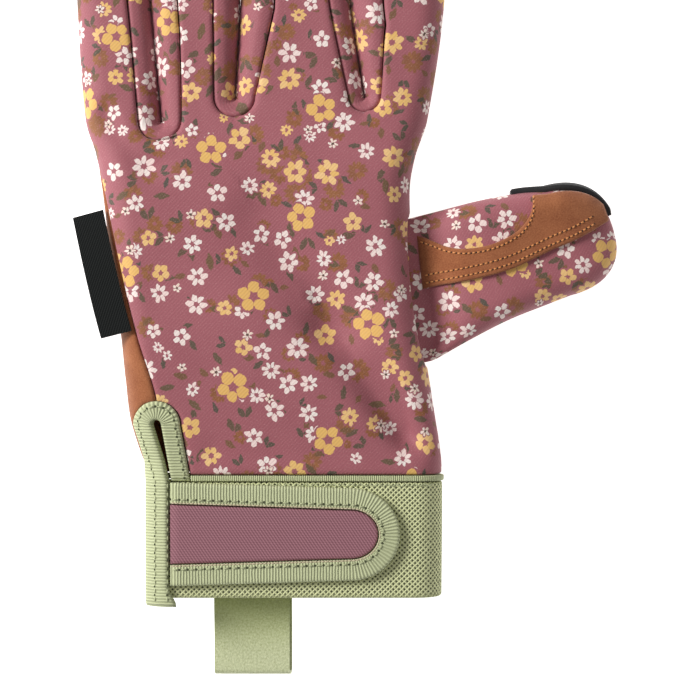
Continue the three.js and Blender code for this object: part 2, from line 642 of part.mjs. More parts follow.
function strapBindingPatch() {
  const row = (t, side) => steps(2).map((share) => (
    onCuffTop(strapEdge(t, side, strapBinding * share), strapBindingWall)));
  return [...strapStops.map((t) => row(t, -1)), ...[...strapStops].reverse().map((t) => row(t, 1))];
}

// A woven label that stands out from the side seam and falls a little
function labelPatch() {
  const seamPoint = (y) => topPoint(hand, y, seamX(y), 0, labelWall + seamGap).out;
  const foot = rise(0) + labelRise;
  const [low, high] = [seamPoint(foot), seamPoint(foot + labelLength)];
  const run = high.clone().sub(low).setZ(0).normalize();
  const slope = degToRad(labelFall);
  return steps(6).map((share) => {
    const from = seamPoint(foot + share * labelLength * run.y);
    return steps(3).map((across) => {
      const far = across * labelWidth;
      const [x, y] = [from.x - far * run.y * Math.cos(slope), from.y + far * run.x * Math.cos(slope)];
      const out = new THREE.Vector3(x, y, from.z - far * Math.sin(slope));
      return { out, in: out.clone().setZ(out.z - labelWall) };
    });
  });
}

// A ribbon folded in two. Its ends are inside the cuff, and its fold lies on the ground below it.
function loopPatch() {
  const half = (ribbonWall + loopSpace) / 2;
  const fold = half + ribbonWall / 2 - loopLength;
  const line = [0, 0.22, 0.31, 0.42, 0.54, 0.7, 0.85, 1].map((t) => lerp(loopTuck, fold, t));
  const lowest = seamGap + ribbonWall / 2 + half;
  const middle = (y) => lowest + cuffWall * smoothstep(y, -loopLength / 2, -1);
  const run = (ys, side) => ys.map((y) => ({ y, z: middle(y) + side * half, lean: [0, side] }));
  const bend = steps(4).slice(1, -1).map((t) => {
    const lean = [-Math.sin(Math.PI * t), -Math.cos(Math.PI * t)];
    return { y: fold + half * lean[0], z: middle(fold) + half * lean[1], lean };
  });
  const path = [...run(line, -1), ...bend, ...run([...line].reverse(), 1)];
  return path.map(({ y, z, lean }) => [-0.5, 0.5].map((share) => {
    const step = (by) => new THREE.Vector3(share * loopWidth, y + lean[0] * by, z + lean[1] * by);
    return { out: step(ribbonWall / 2), in: step(-ribbonWall / 2) };
  }));
}

const floral = '#a35d64';
const suede = '#a16245';
const green = '#abb088';

const thumbGroup = new THREE.Group();
thumbGroup.position.copy(thumbRoot);
thumbGroup.rotation.z = degToRad(thumbTurn);
thumbGroup.add(
  piece('thumb_back', floral, 0.85, thumbPatch(1, clothWall)),
  piece('thumb_palm', suede, 0.95, thumbPatch(-1, suedeWall)),
  piece('thumb_patch', suede, 0.95, saddlePatch()),
  piece('thumb_edge', '#1c1b1d', 0.7, edgePatch()),
);

const cuffRows = [cuffFoot, lerp(cuffFoot, cuffTop, 0.5), cuffTop].map((y) => wristRow(y, cuffWall, 0));
const trimRows = [rise(0), rise(0) + trimHeight].map((y) => (
  wristRow(y, trimWall, trimProud, leftEdge(y, 1), leftEdge(y, -1))));
const wristGroup = new THREE.Group();
wristGroup.add(
  piece('wrist_cuff', '#a9ac80', 0.9, cuffRows),
  piece('cuff_trim', '#b3b890', 0.85, trimRows),
  piece('vent_binding', '#a7ac81', 0.85, ventPatch()),
  piece('strap_panel', '#8c636b', 0.9, strapPatch()),
  piece('strap_binding', green, 0.85, strapBindingPatch()),
);

const loopGroup = new THREE.Group();
loopGroup.position.set(loopCentre, cuffFoot, 0);
loopGroup.add(piece('pull_loop', '#adb285', 0.95, loopPatch()));

const glove = new THREE.Group();
glove.add(
  piece('back_panel', floral, 0.85, ...handPanel(1, clothWall)),
  piece('palm_panel', suede, 0.95, ...handPanel(-1, suedeWall)),
  ...forks.map((fork, f) => piece(fork.name, floral, 0.85, gussetPatch(fork, f))),
  piece('side_label', '#2b2b2a', 0.8, labelPatch()),
  thumbGroup,
  wristGroup,
  loopGroup,
);

export default glove;
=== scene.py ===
# Garden glove, left hand, seen from above. Lengths are in millimetres and become metres in the mesh.
import math

import bpy
import numpy as np
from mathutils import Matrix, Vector, kdtree, noise
from mathutils.bvhtree import BVHTree


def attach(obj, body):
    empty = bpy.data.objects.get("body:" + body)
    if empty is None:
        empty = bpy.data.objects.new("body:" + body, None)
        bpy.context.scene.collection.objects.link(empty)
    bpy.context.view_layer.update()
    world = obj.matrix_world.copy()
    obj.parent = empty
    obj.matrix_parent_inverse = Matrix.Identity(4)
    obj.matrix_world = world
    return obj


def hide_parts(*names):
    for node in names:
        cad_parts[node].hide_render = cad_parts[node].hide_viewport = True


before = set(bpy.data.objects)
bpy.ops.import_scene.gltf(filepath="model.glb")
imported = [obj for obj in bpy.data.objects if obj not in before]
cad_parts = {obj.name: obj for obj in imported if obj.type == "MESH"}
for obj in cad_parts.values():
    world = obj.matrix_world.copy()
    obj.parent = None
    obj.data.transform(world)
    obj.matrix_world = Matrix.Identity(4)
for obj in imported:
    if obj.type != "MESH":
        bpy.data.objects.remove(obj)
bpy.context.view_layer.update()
bpy.ops.object.select_all(action="DESELECT")
scene = bpy.context.scene
quarter = math.pi / 2
metre = 0.001
seamGap = 0.3


# small tools
def lerp(a, b, t):
    return a + (b - a) * t


def clamp(value, low=0.0, high=1.0):
    return max(low, min(high, value))


def ease(value, low, high):
    t = clamp((value - low) / (high - low))
    return t * t * (3 - 2 * t)


def steps(count):
    return [i / count for i in range(count + 1)]


def spaced(count, crowd=0.75):
    # shares from 0 to 1 that crowd towards both ends, where the seams are
    return [lerp(t, (1 - math.cos(math.pi * t)) / 2, crowd) for t in steps(count)]


def along(rows, at, column):
    # value of a table's column at a place, on a smooth curve through the rows
    last = len(rows) - 1
    i = 0
    while i < last - 1 and at > rows[i + 1][0]:
        i += 1
    start, end = rows[i], rows[i + 1]
    step = end[0] - start[0]
    before, after = rows[max(i - 1, 0)], rows[min(i + 2, last)]
    slopeStart = (end[column] - before[column]) / (end[0] - before[0]) * step
    slopeEnd = (after[column] - start[column]) / (after[0] - start[0]) * step
    t = clamp((at - start[0]) / step)
    u = 1 - t
    return (start[column] * (1 + 2 * t) * u * u + slopeStart * t * u * u
            + end[column] * (3 - 2 * t) * t * t - slopeEnd * t * t * u)


def bumps(x, y, size, seed=0.0):
    # smooth random height from -1 to 1, with humps about size across
    return noise.noise(Vector((x / size, y / size, seed)))


# the hand's skin, which every panel lies on
hand = {
    "palmWidth": 100, "palmLength": 104.5, "wristDrop": 43.5, "palmThick": 18, "sideRoll": 9,
    "clothWall": 1.2, "suedeWall": 1.3, "seamIn": 6.4, "forkSlit": 0.9,
    # up, left, right, thick, roll
    "rows": [
        (-0.33, -0.353, 0.498, 0.86, 0.85), (0.00, -0.348, 0.500, 0.86, 0.85),
        (0.08, -0.378, 0.496, 0.88, 0.90), (0.17, -0.406, 0.481, 0.92, 0.95),
        (0.28, -0.420, 0.463, 0.97, 1.00), (0.40, -0.433, 0.443, 1.00, 1.00),
        (0.60, -0.462, 0.418, 1.00, 1.00), (0.80, -0.486, 0.406, 1.00, 1.00),
        (0.90, -0.505, 0.423, 0.95, 0.95), (1.00, -0.537, 0.458, 0.86, 0.90),
        (1.12, -0.548, 0.476, 0.79, 0.85),
    ],
    # length, midUp, midLeft, midRight, capLeft, capRight
    "fingers": [
        (52, 0.66, -0.563, -0.352, -0.560, -0.370),
        (72.5, 0.48, -0.344, -0.094, -0.342, -0.118),
        (82, 0.42, -0.081, 0.226, -0.070, 0.185),
        (70, 0.50, 0.237, 0.508, 0.254, 0.500),
    ],
    # up, in: where the little finger's side seam lies
    "seam": [(-0.33, 1.40), (0.22, 1.40), (0.40, 0.78), (0.60, 0.42), (0.88, 0.00), (1.20, 0.00)],
}
gusset = {
    "names": ["gusset_little_ring", "gusset_ring_middle", "gusset_middle_index"],
    # at, up, left, below, right
    "forks": [
        (-0.316, 0.995, 0.80, 0.80, 1.08), (-0.102, 1.060, 0.97, 0.76, 1.36),
        (0.273, 1.063, 0.76, 0.56, 1.28),
    ],
    "shown": 7, "under": 5,
}


def rise(share):
    return share * hand["palmLength"] - hand["wristDrop"]


def shareUp(y):
    return (y + hand["wristDrop"]) / hand["palmLength"]


class Sleeve:
    # a flattened tube with round sides, such as the hand, a finger or the thumb
    def __init__(self, left, right, top, middle, roll, closed=None, tipAt=0.0, rounds=(2, 2)):
        self.left, self.right, self.top, self.middle, self.roll = left, right, top, middle, roll
        self.closed = closed or (lambda at: 0.0)
        self.tipAt, self.rounds = tipAt, rounds

    def side(self, at, side):
        edge = self.left(at) if side < 0 else self.right(at)
        closed = self.closed(at)
        if closed == 0:
            return edge
        power = self.rounds[0 if side < 0 else 1]
        return self.tipAt + (edge - self.tipAt) * (1 - closed ** power) ** (1 / power)

    def width(self, at):
        return self.side(at, 1) - self.side(at, -1)

    def rollAt(self, at):
        return min(self.roll(at), self.width(at) * 0.49)

    def girth(self, at):
        return self.width(at) - 2 * self.rollAt(at) * (1 - quarter)

    def point(self, at, side, reach, face, wall, proud=0.0):
        # a place on the skin, the place behind it on the inner face, and its place on the flat cloth
        roll = self.rollAt(at)
        bend = min(reach / roll, quarter) if roll > 0 else 0.0
        flat = max(reach - roll * quarter, 0.0)
        edge = self.side(at, side)
        across = edge - side * (roll * (1 - math.cos(bend)) + flat)
        closed = self.closed(at)
        openness = math.sqrt(max(1 - closed * closed, 0.0))
        middle = self.middle(at)
        depth = (self.top(at) - middle if face > 0 else middle) * openness
        z = middle + face * (depth * math.sin(bend) + seamGap / 2 * closed)
        lean = (closed, side * math.cos(bend) * openness, face * math.sin(bend) * openness)
        out = (at + lean[0] * proud, across + lean[1] * proud, z + lean[2] * proud)
        inner = tuple(o - n * wall for o, n in zip(out, lean))
        return out, inner, (at, edge - side * (roll + reach - roll * quarter))

    def fromLeft(self, at, reach, face, wall, proud=0.0):
        girth = self.girth(at)
        if reach < girth / 2:
            return self.point(at, -1, reach, face, wall, proud)
        return self.point(at, 1, girth - reach, face, wall, proud)

    def fromAbove(self, at, across, wall, proud=0.0):
        toLeft, toRight = across - self.side(at, -1), self.side(at, 1) - across
        side = -1 if toLeft < toRight else 1
        return self.point(at, side, reachOf(self.rollAt(at), min(toLeft, toRight)), 1, wall, proud)


def reachOf(roll, seen):
    # distance over the skin from a side, for the distance that is seen from above
    if seen >= roll:
        return roll * quarter + seen - roll
    return roll * math.acos(1 - max(seen, 0.0) / roll)


def upright(point):
    # the hand's sleeves run along y, and their points were made as (along, across, height)
    (a, b, c), (d, e, f), (v, u) = point
    return (b, a, c), (e, d, f), (u, v)


forks = [dict(x=at * hand["palmWidth"], y=rise(up), left=left, below=below, right=right)
         for at, up, left, below, right in gusset["forks"]]
fingers = []
for length, midUp, midLeft, midRight, capLeft, capRight in hand["fingers"]:
    tipY, width = rise(1) + length, hand["palmWidth"]
    fingers.append(dict(
        tipY=tipY, midY=lerp(rise(1), tipY, midUp), midLeft=midLeft * width, midRight=midRight * width,
        capLeft=capLeft * width, capRight=capRight * width,
        capY=tipY - (capRight - capLeft) * width / 2))


def outerSide(column, finger, mid, cap):
    rows = [(rise(row[0]), row[column] * hand["palmWidth"]) for row in hand["rows"] if row[0] <= 1]
    rows += [(finger["midY"], finger[mid]), (finger["capY"], finger[cap])]
    return lambda y: along(rows, y, 1)


def slitSide(fork, towards, finger, mid, cap):
    rows = [(fork["y"], fork["x"] + towards * hand["forkSlit"] / 2)]
    rows += [(finger["midY"], finger[mid]), (finger["capY"], finger[cap])]
    return lambda y: along(rows, y, 1)


def closing(finger):
    return lambda y: clamp((y - finger["capY"]) / (finger["tipY"] - finger["capY"]))


def handTop(y):
    return along(hand["rows"], shareUp(y), 3) * hand["palmThick"]


def handMiddle(y):
    return handTop(y) / 2


def handRoll(y):
    return along(hand["rows"], shareUp(y), 4) * hand["sideRoll"]


handLeft = outerSide(1, fingers[0], "midLeft", "capLeft")
handRight = outerSide(2, fingers[3], "midRight", "capRight")
handSleeve = Sleeve(handLeft, handRight, handTop, handMiddle, handRoll)
fingerSleeves = []
for f, finger in enumerate(fingers):
    left = handLeft if f == 0 else slitSide(forks[f - 1], 1, finger, "midLeft", "capLeft")
    right = handRight if f == 3 else slitSide(forks[f], -1, finger, "midRight", "capRight")
    fingerSleeves.append(Sleeve(left, right, handTop, handMiddle, handRoll, closing(finger),
                                (finger["capLeft"] + finger["capRight"]) / 2))


# cloth meshes
def makeCloth(name, patches, seam=0.0, seamWide=1.2, relief=None, material=None):
    # One closed wall from patches of rows of (outer, inner, flat) points. Its edges turn down into their
    # seams by seam, over seamWide, and relief lifts it by a height for (x, y, z, flat, distance to the seam).
    outer, inner, flat, known, quads = [], [], [], {}, []

    def indexOf(point):
        key = tuple(round(c * 1e3) for c in point[0])
        if key not in known:
            known[key] = len(outer)
            outer.append(point[0])
            inner.append(point[1])
            flat.append(point[2])
        return known[key]

    for rows in patches:
        marks = [[indexOf(point) for point in row] for row in rows]
        for r in range(len(marks) - 1):
            for c in range(len(marks[r]) - 1):
                corners = [marks[r][c], marks[r][c + 1], marks[r + 1][c + 1], marks[r + 1][c]]
                face = [v for i, v in enumerate(corners) if v != corners[i - 1]]
                if len(set(face)) >= 3:
                    quads.append(face)
    out, back = np.array(outer), np.array(inner)
    facing = 0.0
    for face in quads:
        normal = np.cross(out[face[1]] - out[face[0]], out[face[2]] - out[face[0]])
        facing += float(normal @ (out[face[0]] - back[face[0]]))
    if facing < 0:
        quads = [face[::-1] for face in quads]
    normals = np.zeros_like(out)
    for face in quads:
        normal = np.cross(out[face[2]] - out[face[0]], out[face[-1]] - out[face[1]])
        for v in face:
            normals[v] += normal
    normals /= np.maximum(np.linalg.norm(normals, axis=1), 1e-9)[:, None]
    used = {}
    for face in quads:
        for i, v in enumerate(face):
            used[(face[i - 1], v)] = True
    rim = [edge for edge in used if (edge[1], edge[0]) not in used]
    away = rimDistance(out, rim)
    for v in range(len(out)):
        lift = 0.0
        if seam and away[v] < seamWide:
            lift -= seam * (1 - math.sqrt(1 - (1 - away[v] / seamWide) ** 2))
        if relief:
            lift += relief(out[v], flat[v], away[v])
        out[v] += normals[v] * lift
        back[v] += normals[v] * lift
    count = len(out)
    faces = quads + [[count + v for v in face[::-1]] for face in quads]
    faces += [[b, a, count + a, count + b] for a, b in rim]
    mesh = bpy.data.meshes.new(name)
    mesh.from_pydata((np.vstack([out, back]) * metre).tolist(), [], faces)
    layer = mesh.uv_layers.new(name="cloth")
    places = np.vstack([flat, flat]) * metre
    corners = np.zeros(len(mesh.loops), np.int32)
    mesh.loops.foreach_get("vertex_index", corners)
    layer.data.foreach_set("uv", places[corners].astype(np.float32).ravel())
    mesh.polygons.foreach_set("use_smooth", [True] * len(mesh.polygons))
    mesh.validate()
    mesh.update()
    made = bpy.data.objects.new(name, mesh)
    scene.collection.objects.link(made)
    if material:
        mesh.materials.append(material)
    mesh.set_sharp_from_angle(angle=math.radians(55))
    return made


def rimDistance(points, rim):
    # distance from each point to the open edge of the cloth
    ends = sorted({v for edge in rim for v in edge})
    tree = kdtree.KDTree(len(ends))
    touching = {v: [] for v in ends}
    for a, b in rim:
        touching[a].append((a, b))
        touching[b].append((a, b))
    for v in ends:
        tree.insert(points[v], v)
    tree.balance()
    away = np.zeros(len(points))
    for v, point in enumerate(points):
        best = 1e9
        for _, near, gap in tree.find_n(point, 3):
            best = min(best, gap)
            if gap > 8:
                break
            for a, b in touching[near]:
                run = points[b] - points[a]
                t = clamp(float((point - points[a]) @ run) / max(float(run @ run), 1e-12))
                best = min(best, float(np.linalg.norm(point - points[a] - run * t)))
        away[v] = best
    return away


# camera and light
view = {
    "centre": (22.6, -5.2, 10), "shown": 201.8, "lens": 100, "sensor": 36,
}


def placeCamera():
    # straight above the glove, from far enough away that its sides hardly show
    camera = bpy.data.objects.new("camera", bpy.data.cameras.new("camera"))
    camera.data.lens = view["lens"]
    camera.data.sensor_width = view["sensor"]
    x, y, z = view["centre"]
    far = view["lens"] / view["sensor"] * view["shown"]
    camera.location = (x * metre, y * metre, (z + far) * metre)
    camera.data.clip_start = 0.01
    scene.collection.objects.link(camera)
    scene.camera = camera


placeCamera()
print("camera placed")

# edges that neighbouring pieces share
vent = {
    "flare": 2.0,
    "length": 16.2, "width": 2.8, "foot": 6.4, "binding": 5.4, "wall": 2.0, "proud": 0.6, "tail": 2.4,
}
thumbSizes = {
    "length": 60, "width": 43, "thick": 14, "roll": 6.5, "turn": 14.3, "rise": 54.8, "tuck": 3,
    "holeWidth": 43, "holeDeep": 2, "holeRise": 0.36, "patchWall": 1.2,
    "edgeShown": 1.8, "edgeUnder": 2.6, "edgeWall": 1.2, "edgeFrom": 0.56, "edgeTo": 0.82,
    # up, low, high, middle, top
    "rows": [
        (0.00, -0.480, 0.488, 0.643, 0.80), (0.20, -0.405, 0.490, 0.540, 0.90),
        (0.40, -0.342, 0.492, 0.500, 1.00), (0.60, -0.305, 0.475, 0.500, 1.00),
        (0.72, -0.285, 0.448, 0.500, 1.00),
    ],
    "tipAt": 0.04, "rounds": (2.3, 2.5),
    # up, low, high: edges of the suede patch
    "patch": [
        (0.00, 0.005, 0.380), (0.09, 0.000, 0.310), (0.17, -0.010, 0.240), (0.26, -0.018, 0.195),
        (0.38, -0.022, 0.178), (0.49, -0.010, 0.200), (0.57, 0.012, 0.250), (0.63, 0.028, 0.345),
        (0.67, 0.040, 0.500), (0.80, 0.070, 0.500), (0.97, 0.140, 0.500),
    ],
}
cuffSizes = {"length": 33.5, "wall": 1.6, "trimHeight": 1.6, "trimWall": 2.0, "trimProud": 0.5,
             "underShift": 200}
ventRound = vent["width"] / 2 + vent["binding"]
ventTopY = vent["length"] - hand["wristDrop"]


def seamX(y):
    return handLeft(y) + along(hand["seam"], shareUp(y), 1) * hand["seamIn"]


ventTopX = seamX(ventTopY + ventRound)
ventFootX = handLeft(-hand["wristDrop"]) + vent["foot"]


def ventUp(y):
    return clamp((y + hand["wristDrop"]) / vent["length"])


def ventAxis(y):
    return lerp(ventFootX, ventTopX, ventUp(y))


def ventHalf(y):
    return lerp(seamGap, vent["width"] / 2, ventUp(y))


def bindingEdge(y, side):
    over = clamp(y - ventTopY, 0, ventRound)
    half = math.sqrt(max(ventRound ** 2 - over ** 2, 0)) if over > 0 else ventHalf(y) + vent["binding"]
    return max(ventAxis(y) + side * half, handLeft(y) + seamGap)


def leftEdge(y, face):
    seam = reachOf(handRoll(y), seamX(y) - handLeft(y)) + face * seamGap / 2
    if y - ventTopY > ventRound:
        return face * seam
    binding = reachOf(handRoll(y), bindingEdge(y, face) - handLeft(y)) + face * seamGap
    return max(seam, binding) if face > 0 else -min(seam, binding)


def holeY(share):
    return rise(0) + thumbSizes["rise"] - thumbSizes["holeWidth"] / 2 * math.cos(math.pi * share)


def holeEdge(y, face):
    turn = clamp((rise(0) + thumbSizes["rise"] - y) * 2 / thumbSizes["holeWidth"], -1, 1)
    openness = math.sin(math.acos(turn))
    arc = handRoll(y) * quarter
    if face > 0:
        return math.sqrt(openness) * arc * thumbSizes["holeRise"]
    return openness * (arc + thumbSizes["holeDeep"])


def slitPlace(finger, start, s):
    # s runs from 0 at the fork over 1 where the fingertip begins to close to 2 at the tip
    if s <= 1:
        return lerp(start, finger["capY"], s)
    return lerp(finger["capY"], finger["tipY"], math.sin(quarter * (s - 1)))


def gussetReach(fork, s, side, face):
    mark = 5 * s if s <= 1 else 5 + 3 * (s - 1)
    shown = lerp(fork["below"], fork["left" if side < 0 else "right"], min(mark / 2, 1)) * gusset["shown"]
    left = clamp((6 - mark) / 2)
    return reachOf(handRoll(fork["y"]), shown if face > 0 else gusset["under"]) * left


def forkPoint(fork, turn, side, reach, face, wall):
    # a place on the skin round a fork; turn is 0 below the slit and a quarter turn beside it
    roll = handRoll(fork["y"])
    bend = min(reach / roll, quarter)
    far = hand["forkSlit"] / 2 + roll * (1 - math.cos(bend)) + max(reach - roll * quarter, 0)
    x, y = fork["x"] + side * math.sin(turn) * far, fork["y"] - math.cos(turn) * far
    out = (x, y, handMiddle(y) * (1 + face * math.sin(bend)))
    lean = math.cos(bend)
    normal = (-side * math.sin(turn) * lean, math.cos(turn) * lean, face * math.sin(bend))
    return out, tuple(o - n * wall for o, n in zip(out, normal)), (x, y)


def forkDip(x, y):
    # how far the skin has risen beside a slit, from 0 in it to 1 on the open back
    far = min(math.hypot(x - fork["x"], y - fork["y"]) for fork in forks) - hand["forkSlit"] / 2
    return math.sin(math.acos(clamp(1 - far / handRoll(y), 0, 1)))


def dipPoint(x, y, face, wall):
    out = (x, y, handMiddle(y) * (1 + face * forkDip(x, y)))
    return out, (x, y, out[2] - face * wall), (x, y)


# the two sides of the hand
panel = {"columns": 22, "turns": 8, "slitRows": 60, "palmStep": 1.6}


def fingerRow(f, s, face, wall):
    sleeve, finger = fingerSleeves[f], fingers[f]
    left, right = (forks[f - 1] if f > 0 else None), (forks[f] if f < 3 else None)
    startLeft = slitPlace(finger, (left or right)["y"], s)
    startRight = slitPlace(finger, (right or left)["y"], s)
    leftReach = (gussetReach(left, s, 1, face) if left else 0) + seamGap / 2
    rightReach = (gussetReach(right, s, -1, face) if right else 0) + seamGap / 2
    row = []
    for share in spaced(panel["columns"]):
        at = lerp(startLeft, startRight, share)
        reach = lerp(leftReach, sleeve.girth(at) - rightReach, share)
        row.append(upright(sleeve.fromLeft(at, reach, face, wall)))
    return row


def footRow(f, turn, face, wall):
    left, right = (forks[f - 1] if f > 0 else None), (forks[f] if f < 3 else None)
    start = left and forkPoint(left, turn, 1, gussetReach(left, 0, 1, face) + seamGap / 2, face, wall)
    end = right and forkPoint(right, turn, -1, gussetReach(right, 0, -1, face) + seamGap / 2, face, wall)
    row = []
    for share in spaced(panel["columns"]):
        if share == 0 and start:
            row.append(start)
            continue
        if share > 0.9999 and end:
            row.append(end)
            continue
        y = lerp((start or end)[0][1], (end or start)[0][1], share)
        if start and end:
            row.append(dipPoint(lerp(start[0][0], end[0][0], share), y, face, wall))
            continue
        side = 1 if start else -1
        inner = reachOf(handRoll(y), abs((start or end)[0][0] - handSleeve.side(y, side)))
        reach = lerp(seamGap / 2, inner, 1 - share if start else share)
        row.append(dipped(upright(handSleeve.point(y, side, reach, face, wall)), face))
    return row


def dipped(point, face):
    # lowers a point of the palm or the back where it comes near a slit
    (x, y, z), (ix, iy, iz), flat = point
    drop = (z - handMiddle(y)) * (1 - forkDip(x, y))
    return (x, y, z - drop), (ix, iy, iz - drop), flat


def handPanel(face, wall):
    slits = [2 * i / panel["slitRows"] for i in range(panel["slitRows"] + 1)]
    turns = [quarter * i / panel["turns"] for i in range(panel["turns"])]
    patches = []
    for f in range(4):
        rows = [footRow(f, turn, face, wall) for turn in turns]
        patches.append(rows + [fingerRow(f, s, face, wall) for s in slits])
    foot = []
    for f, rows in enumerate(patches):
        foot += rows[0] if f == 0 else rows[0][1:]
    places = []
    for (x, y, z), _, _ in foot:
        toLeft, toRight = x - handLeft(y), handRight(y) - x
        roll, girth = handRoll(y), handSleeve.girth(y)
        places.append(reachOf(roll, toLeft) / girth if toLeft < toRight
                      else 1 - reachOf(roll, toRight) / girth)

    def rowAt(height):
        row = []
        for c, place in enumerate(places):
            y = height(foot[c][0][1])
            share = (place - places[0]) / (places[-1] - places[0])
            right = handSleeve.girth(y) - holeEdge(y, face) - seamGap / 2
            reach = lerp(leftEdge(y, face), right, share)
            row.append(dipped(upright(handSleeve.fromLeft(y, reach, face, wall)), face))
        return row

    panelFoot = rise(0) + cuffSizes["trimHeight"] + seamGap
    shoulder = rise(0.85)
    count = round((shoulder - panelFoot) / panel["palmStep"])
    heights = {panelFoot + 0.25, panelFoot + 0.6, *(lerp(panelFoot, shoulder, t) for t in steps(count))}
    heights |= {ventTopY + ventRound * math.sin(quarter * t) for t in steps(8)}
    heights |= {ventTopY + ventRound + seamGap, *(holeY(t) for t in steps(24))}
    palm = [rowAt(lambda _, y=y: y) for y in sorted(heights)]
    palm += [rowAt(lambda y, t=t: lerp(shoulder, y, t)) for t in steps(12)[1:-1]]
    return [palm + [foot]] + patches


folds = {
    "width": 6, "depth": 4.6,
    # at, up, endAt, endUp, wide, endWide, deep, endDeep, and how much wider the fold is on its left
    "rows": [
        (-0.02, 0.72, 0.17, 0.43, 1.7, 1.3, 0.35, 0.65, 0.8),
        (0.17, 0.43, 0.40, 0.10, 1.2, 0.8, 0.55, 1.15, 0.5),
        (-0.47, 1.01, -0.34, 0.89, 0.6, 0.8, 0.60, 0.55, 1.0),
        (-0.20, 0.01, 0.18, 0.00, 1.0, 1.0, 0.70, 0.55, 1.0),
    ],
}


def foldAt(x, y):
    # how far the folds sink the back
    sink = 0.0
    for at, up, endAt, endUp, wide, endWide, deep, endDeep, skew in folds["rows"]:
        start = (at * hand["palmWidth"], rise(up))
        run = (endAt * hand["palmWidth"] - start[0], rise(endUp) - start[1])
        t = clamp(((x - start[0]) * run[0] + (y - start[1]) * run[1]) / (run[0] ** 2 + run[1] ** 2))
        offX, offY = x - start[0] - run[0] * t, y - start[1] - run[1] * t
        far = math.hypot(offX, offY) / (lerp(wide, endWide, t) * folds["width"])
        leftSide = run[0] * offY - run[1] * offX < 0
        far *= skew / (1 + skew) * 2 if not leftSide else 2 / (1 + skew)
        sink += lerp(deep, endDeep, t) * folds["depth"] * math.exp(-far * far)
    return sink


def backRelief(point, flat, away):
    # soft unevenness of cloth that lies over an empty glove, and its folds
    x, y, _ = point
    loose = ease(away, 0, 9)
    height = 0.5 * bumps(x, y, 26, 1.3) + 0.16 * bumps(x, y, 11, 4.1)
    height += 0.10 * bumps(x, y, 3.2, 7.7) * (1 - ease(away, 2, 8))
    toFork = min(math.hypot(x - fork["x"], y - fork["y"]) for fork in forks)
    free = ease(away, folds["width"] / 3, folds["width"] * 2) * ease(toFork, 7, 12)
    return height * loose - foldAt(x, y) * free


# materials
def linear(code):
    # a hex colour as linear light
    parts = [int(code[i:i + 2], 16) / 255 for i in (1, 3, 5)]
    return tuple(p / 12.92 if p <= 0.04045 else ((p + 0.055) / 1.055) ** 2.4 for p in parts) + (1.0,)


def add(tree, kind, links=None, **settings):
    # adds a node with its settings and links; a linked node gives its first output
    made = tree.nodes.new(kind)
    for name, value in settings.items():
        setattr(made, name, value)
    for socket, value in (links or {}).items():
        if isinstance(value, bpy.types.Node):
            value = value.outputs[0]
        if isinstance(value, bpy.types.NodeSocket):
            tree.links.new(value, made.inputs[socket])
        else:
            made.inputs[socket].default_value = value
    return made


def newMaterial(name, roughness):
    material = bpy.data.materials.new(name)
    material.use_nodes = True
    shader = material.node_tree.nodes["Principled BSDF"]
    shader.inputs["Roughness"].default_value = roughness
    return material, material.node_tree, shader


def clothPlace(tree):
    # a place on the piece's own flat cloth, in millimetres
    uv = add(tree, "ShaderNodeUVMap", uv_map="cloth")
    return add(tree, "ShaderNodeMapping", {0: uv, 3: (1 / metre,) * 3})


def lines(tree, place, way, pitch):
    # rows of threads: a wave from -1 to 1 across the given direction
    across = add(tree, "ShaderNodeVectorMath", {0: place, 1: way}, operation="DOT_PRODUCT")
    phase = add(tree, "ShaderNodeMath", {0: across.outputs[1], 1: math.tau / pitch}, operation="MULTIPLY")
    return add(tree, "ShaderNodeMath", {0: phase}, operation="SINE")


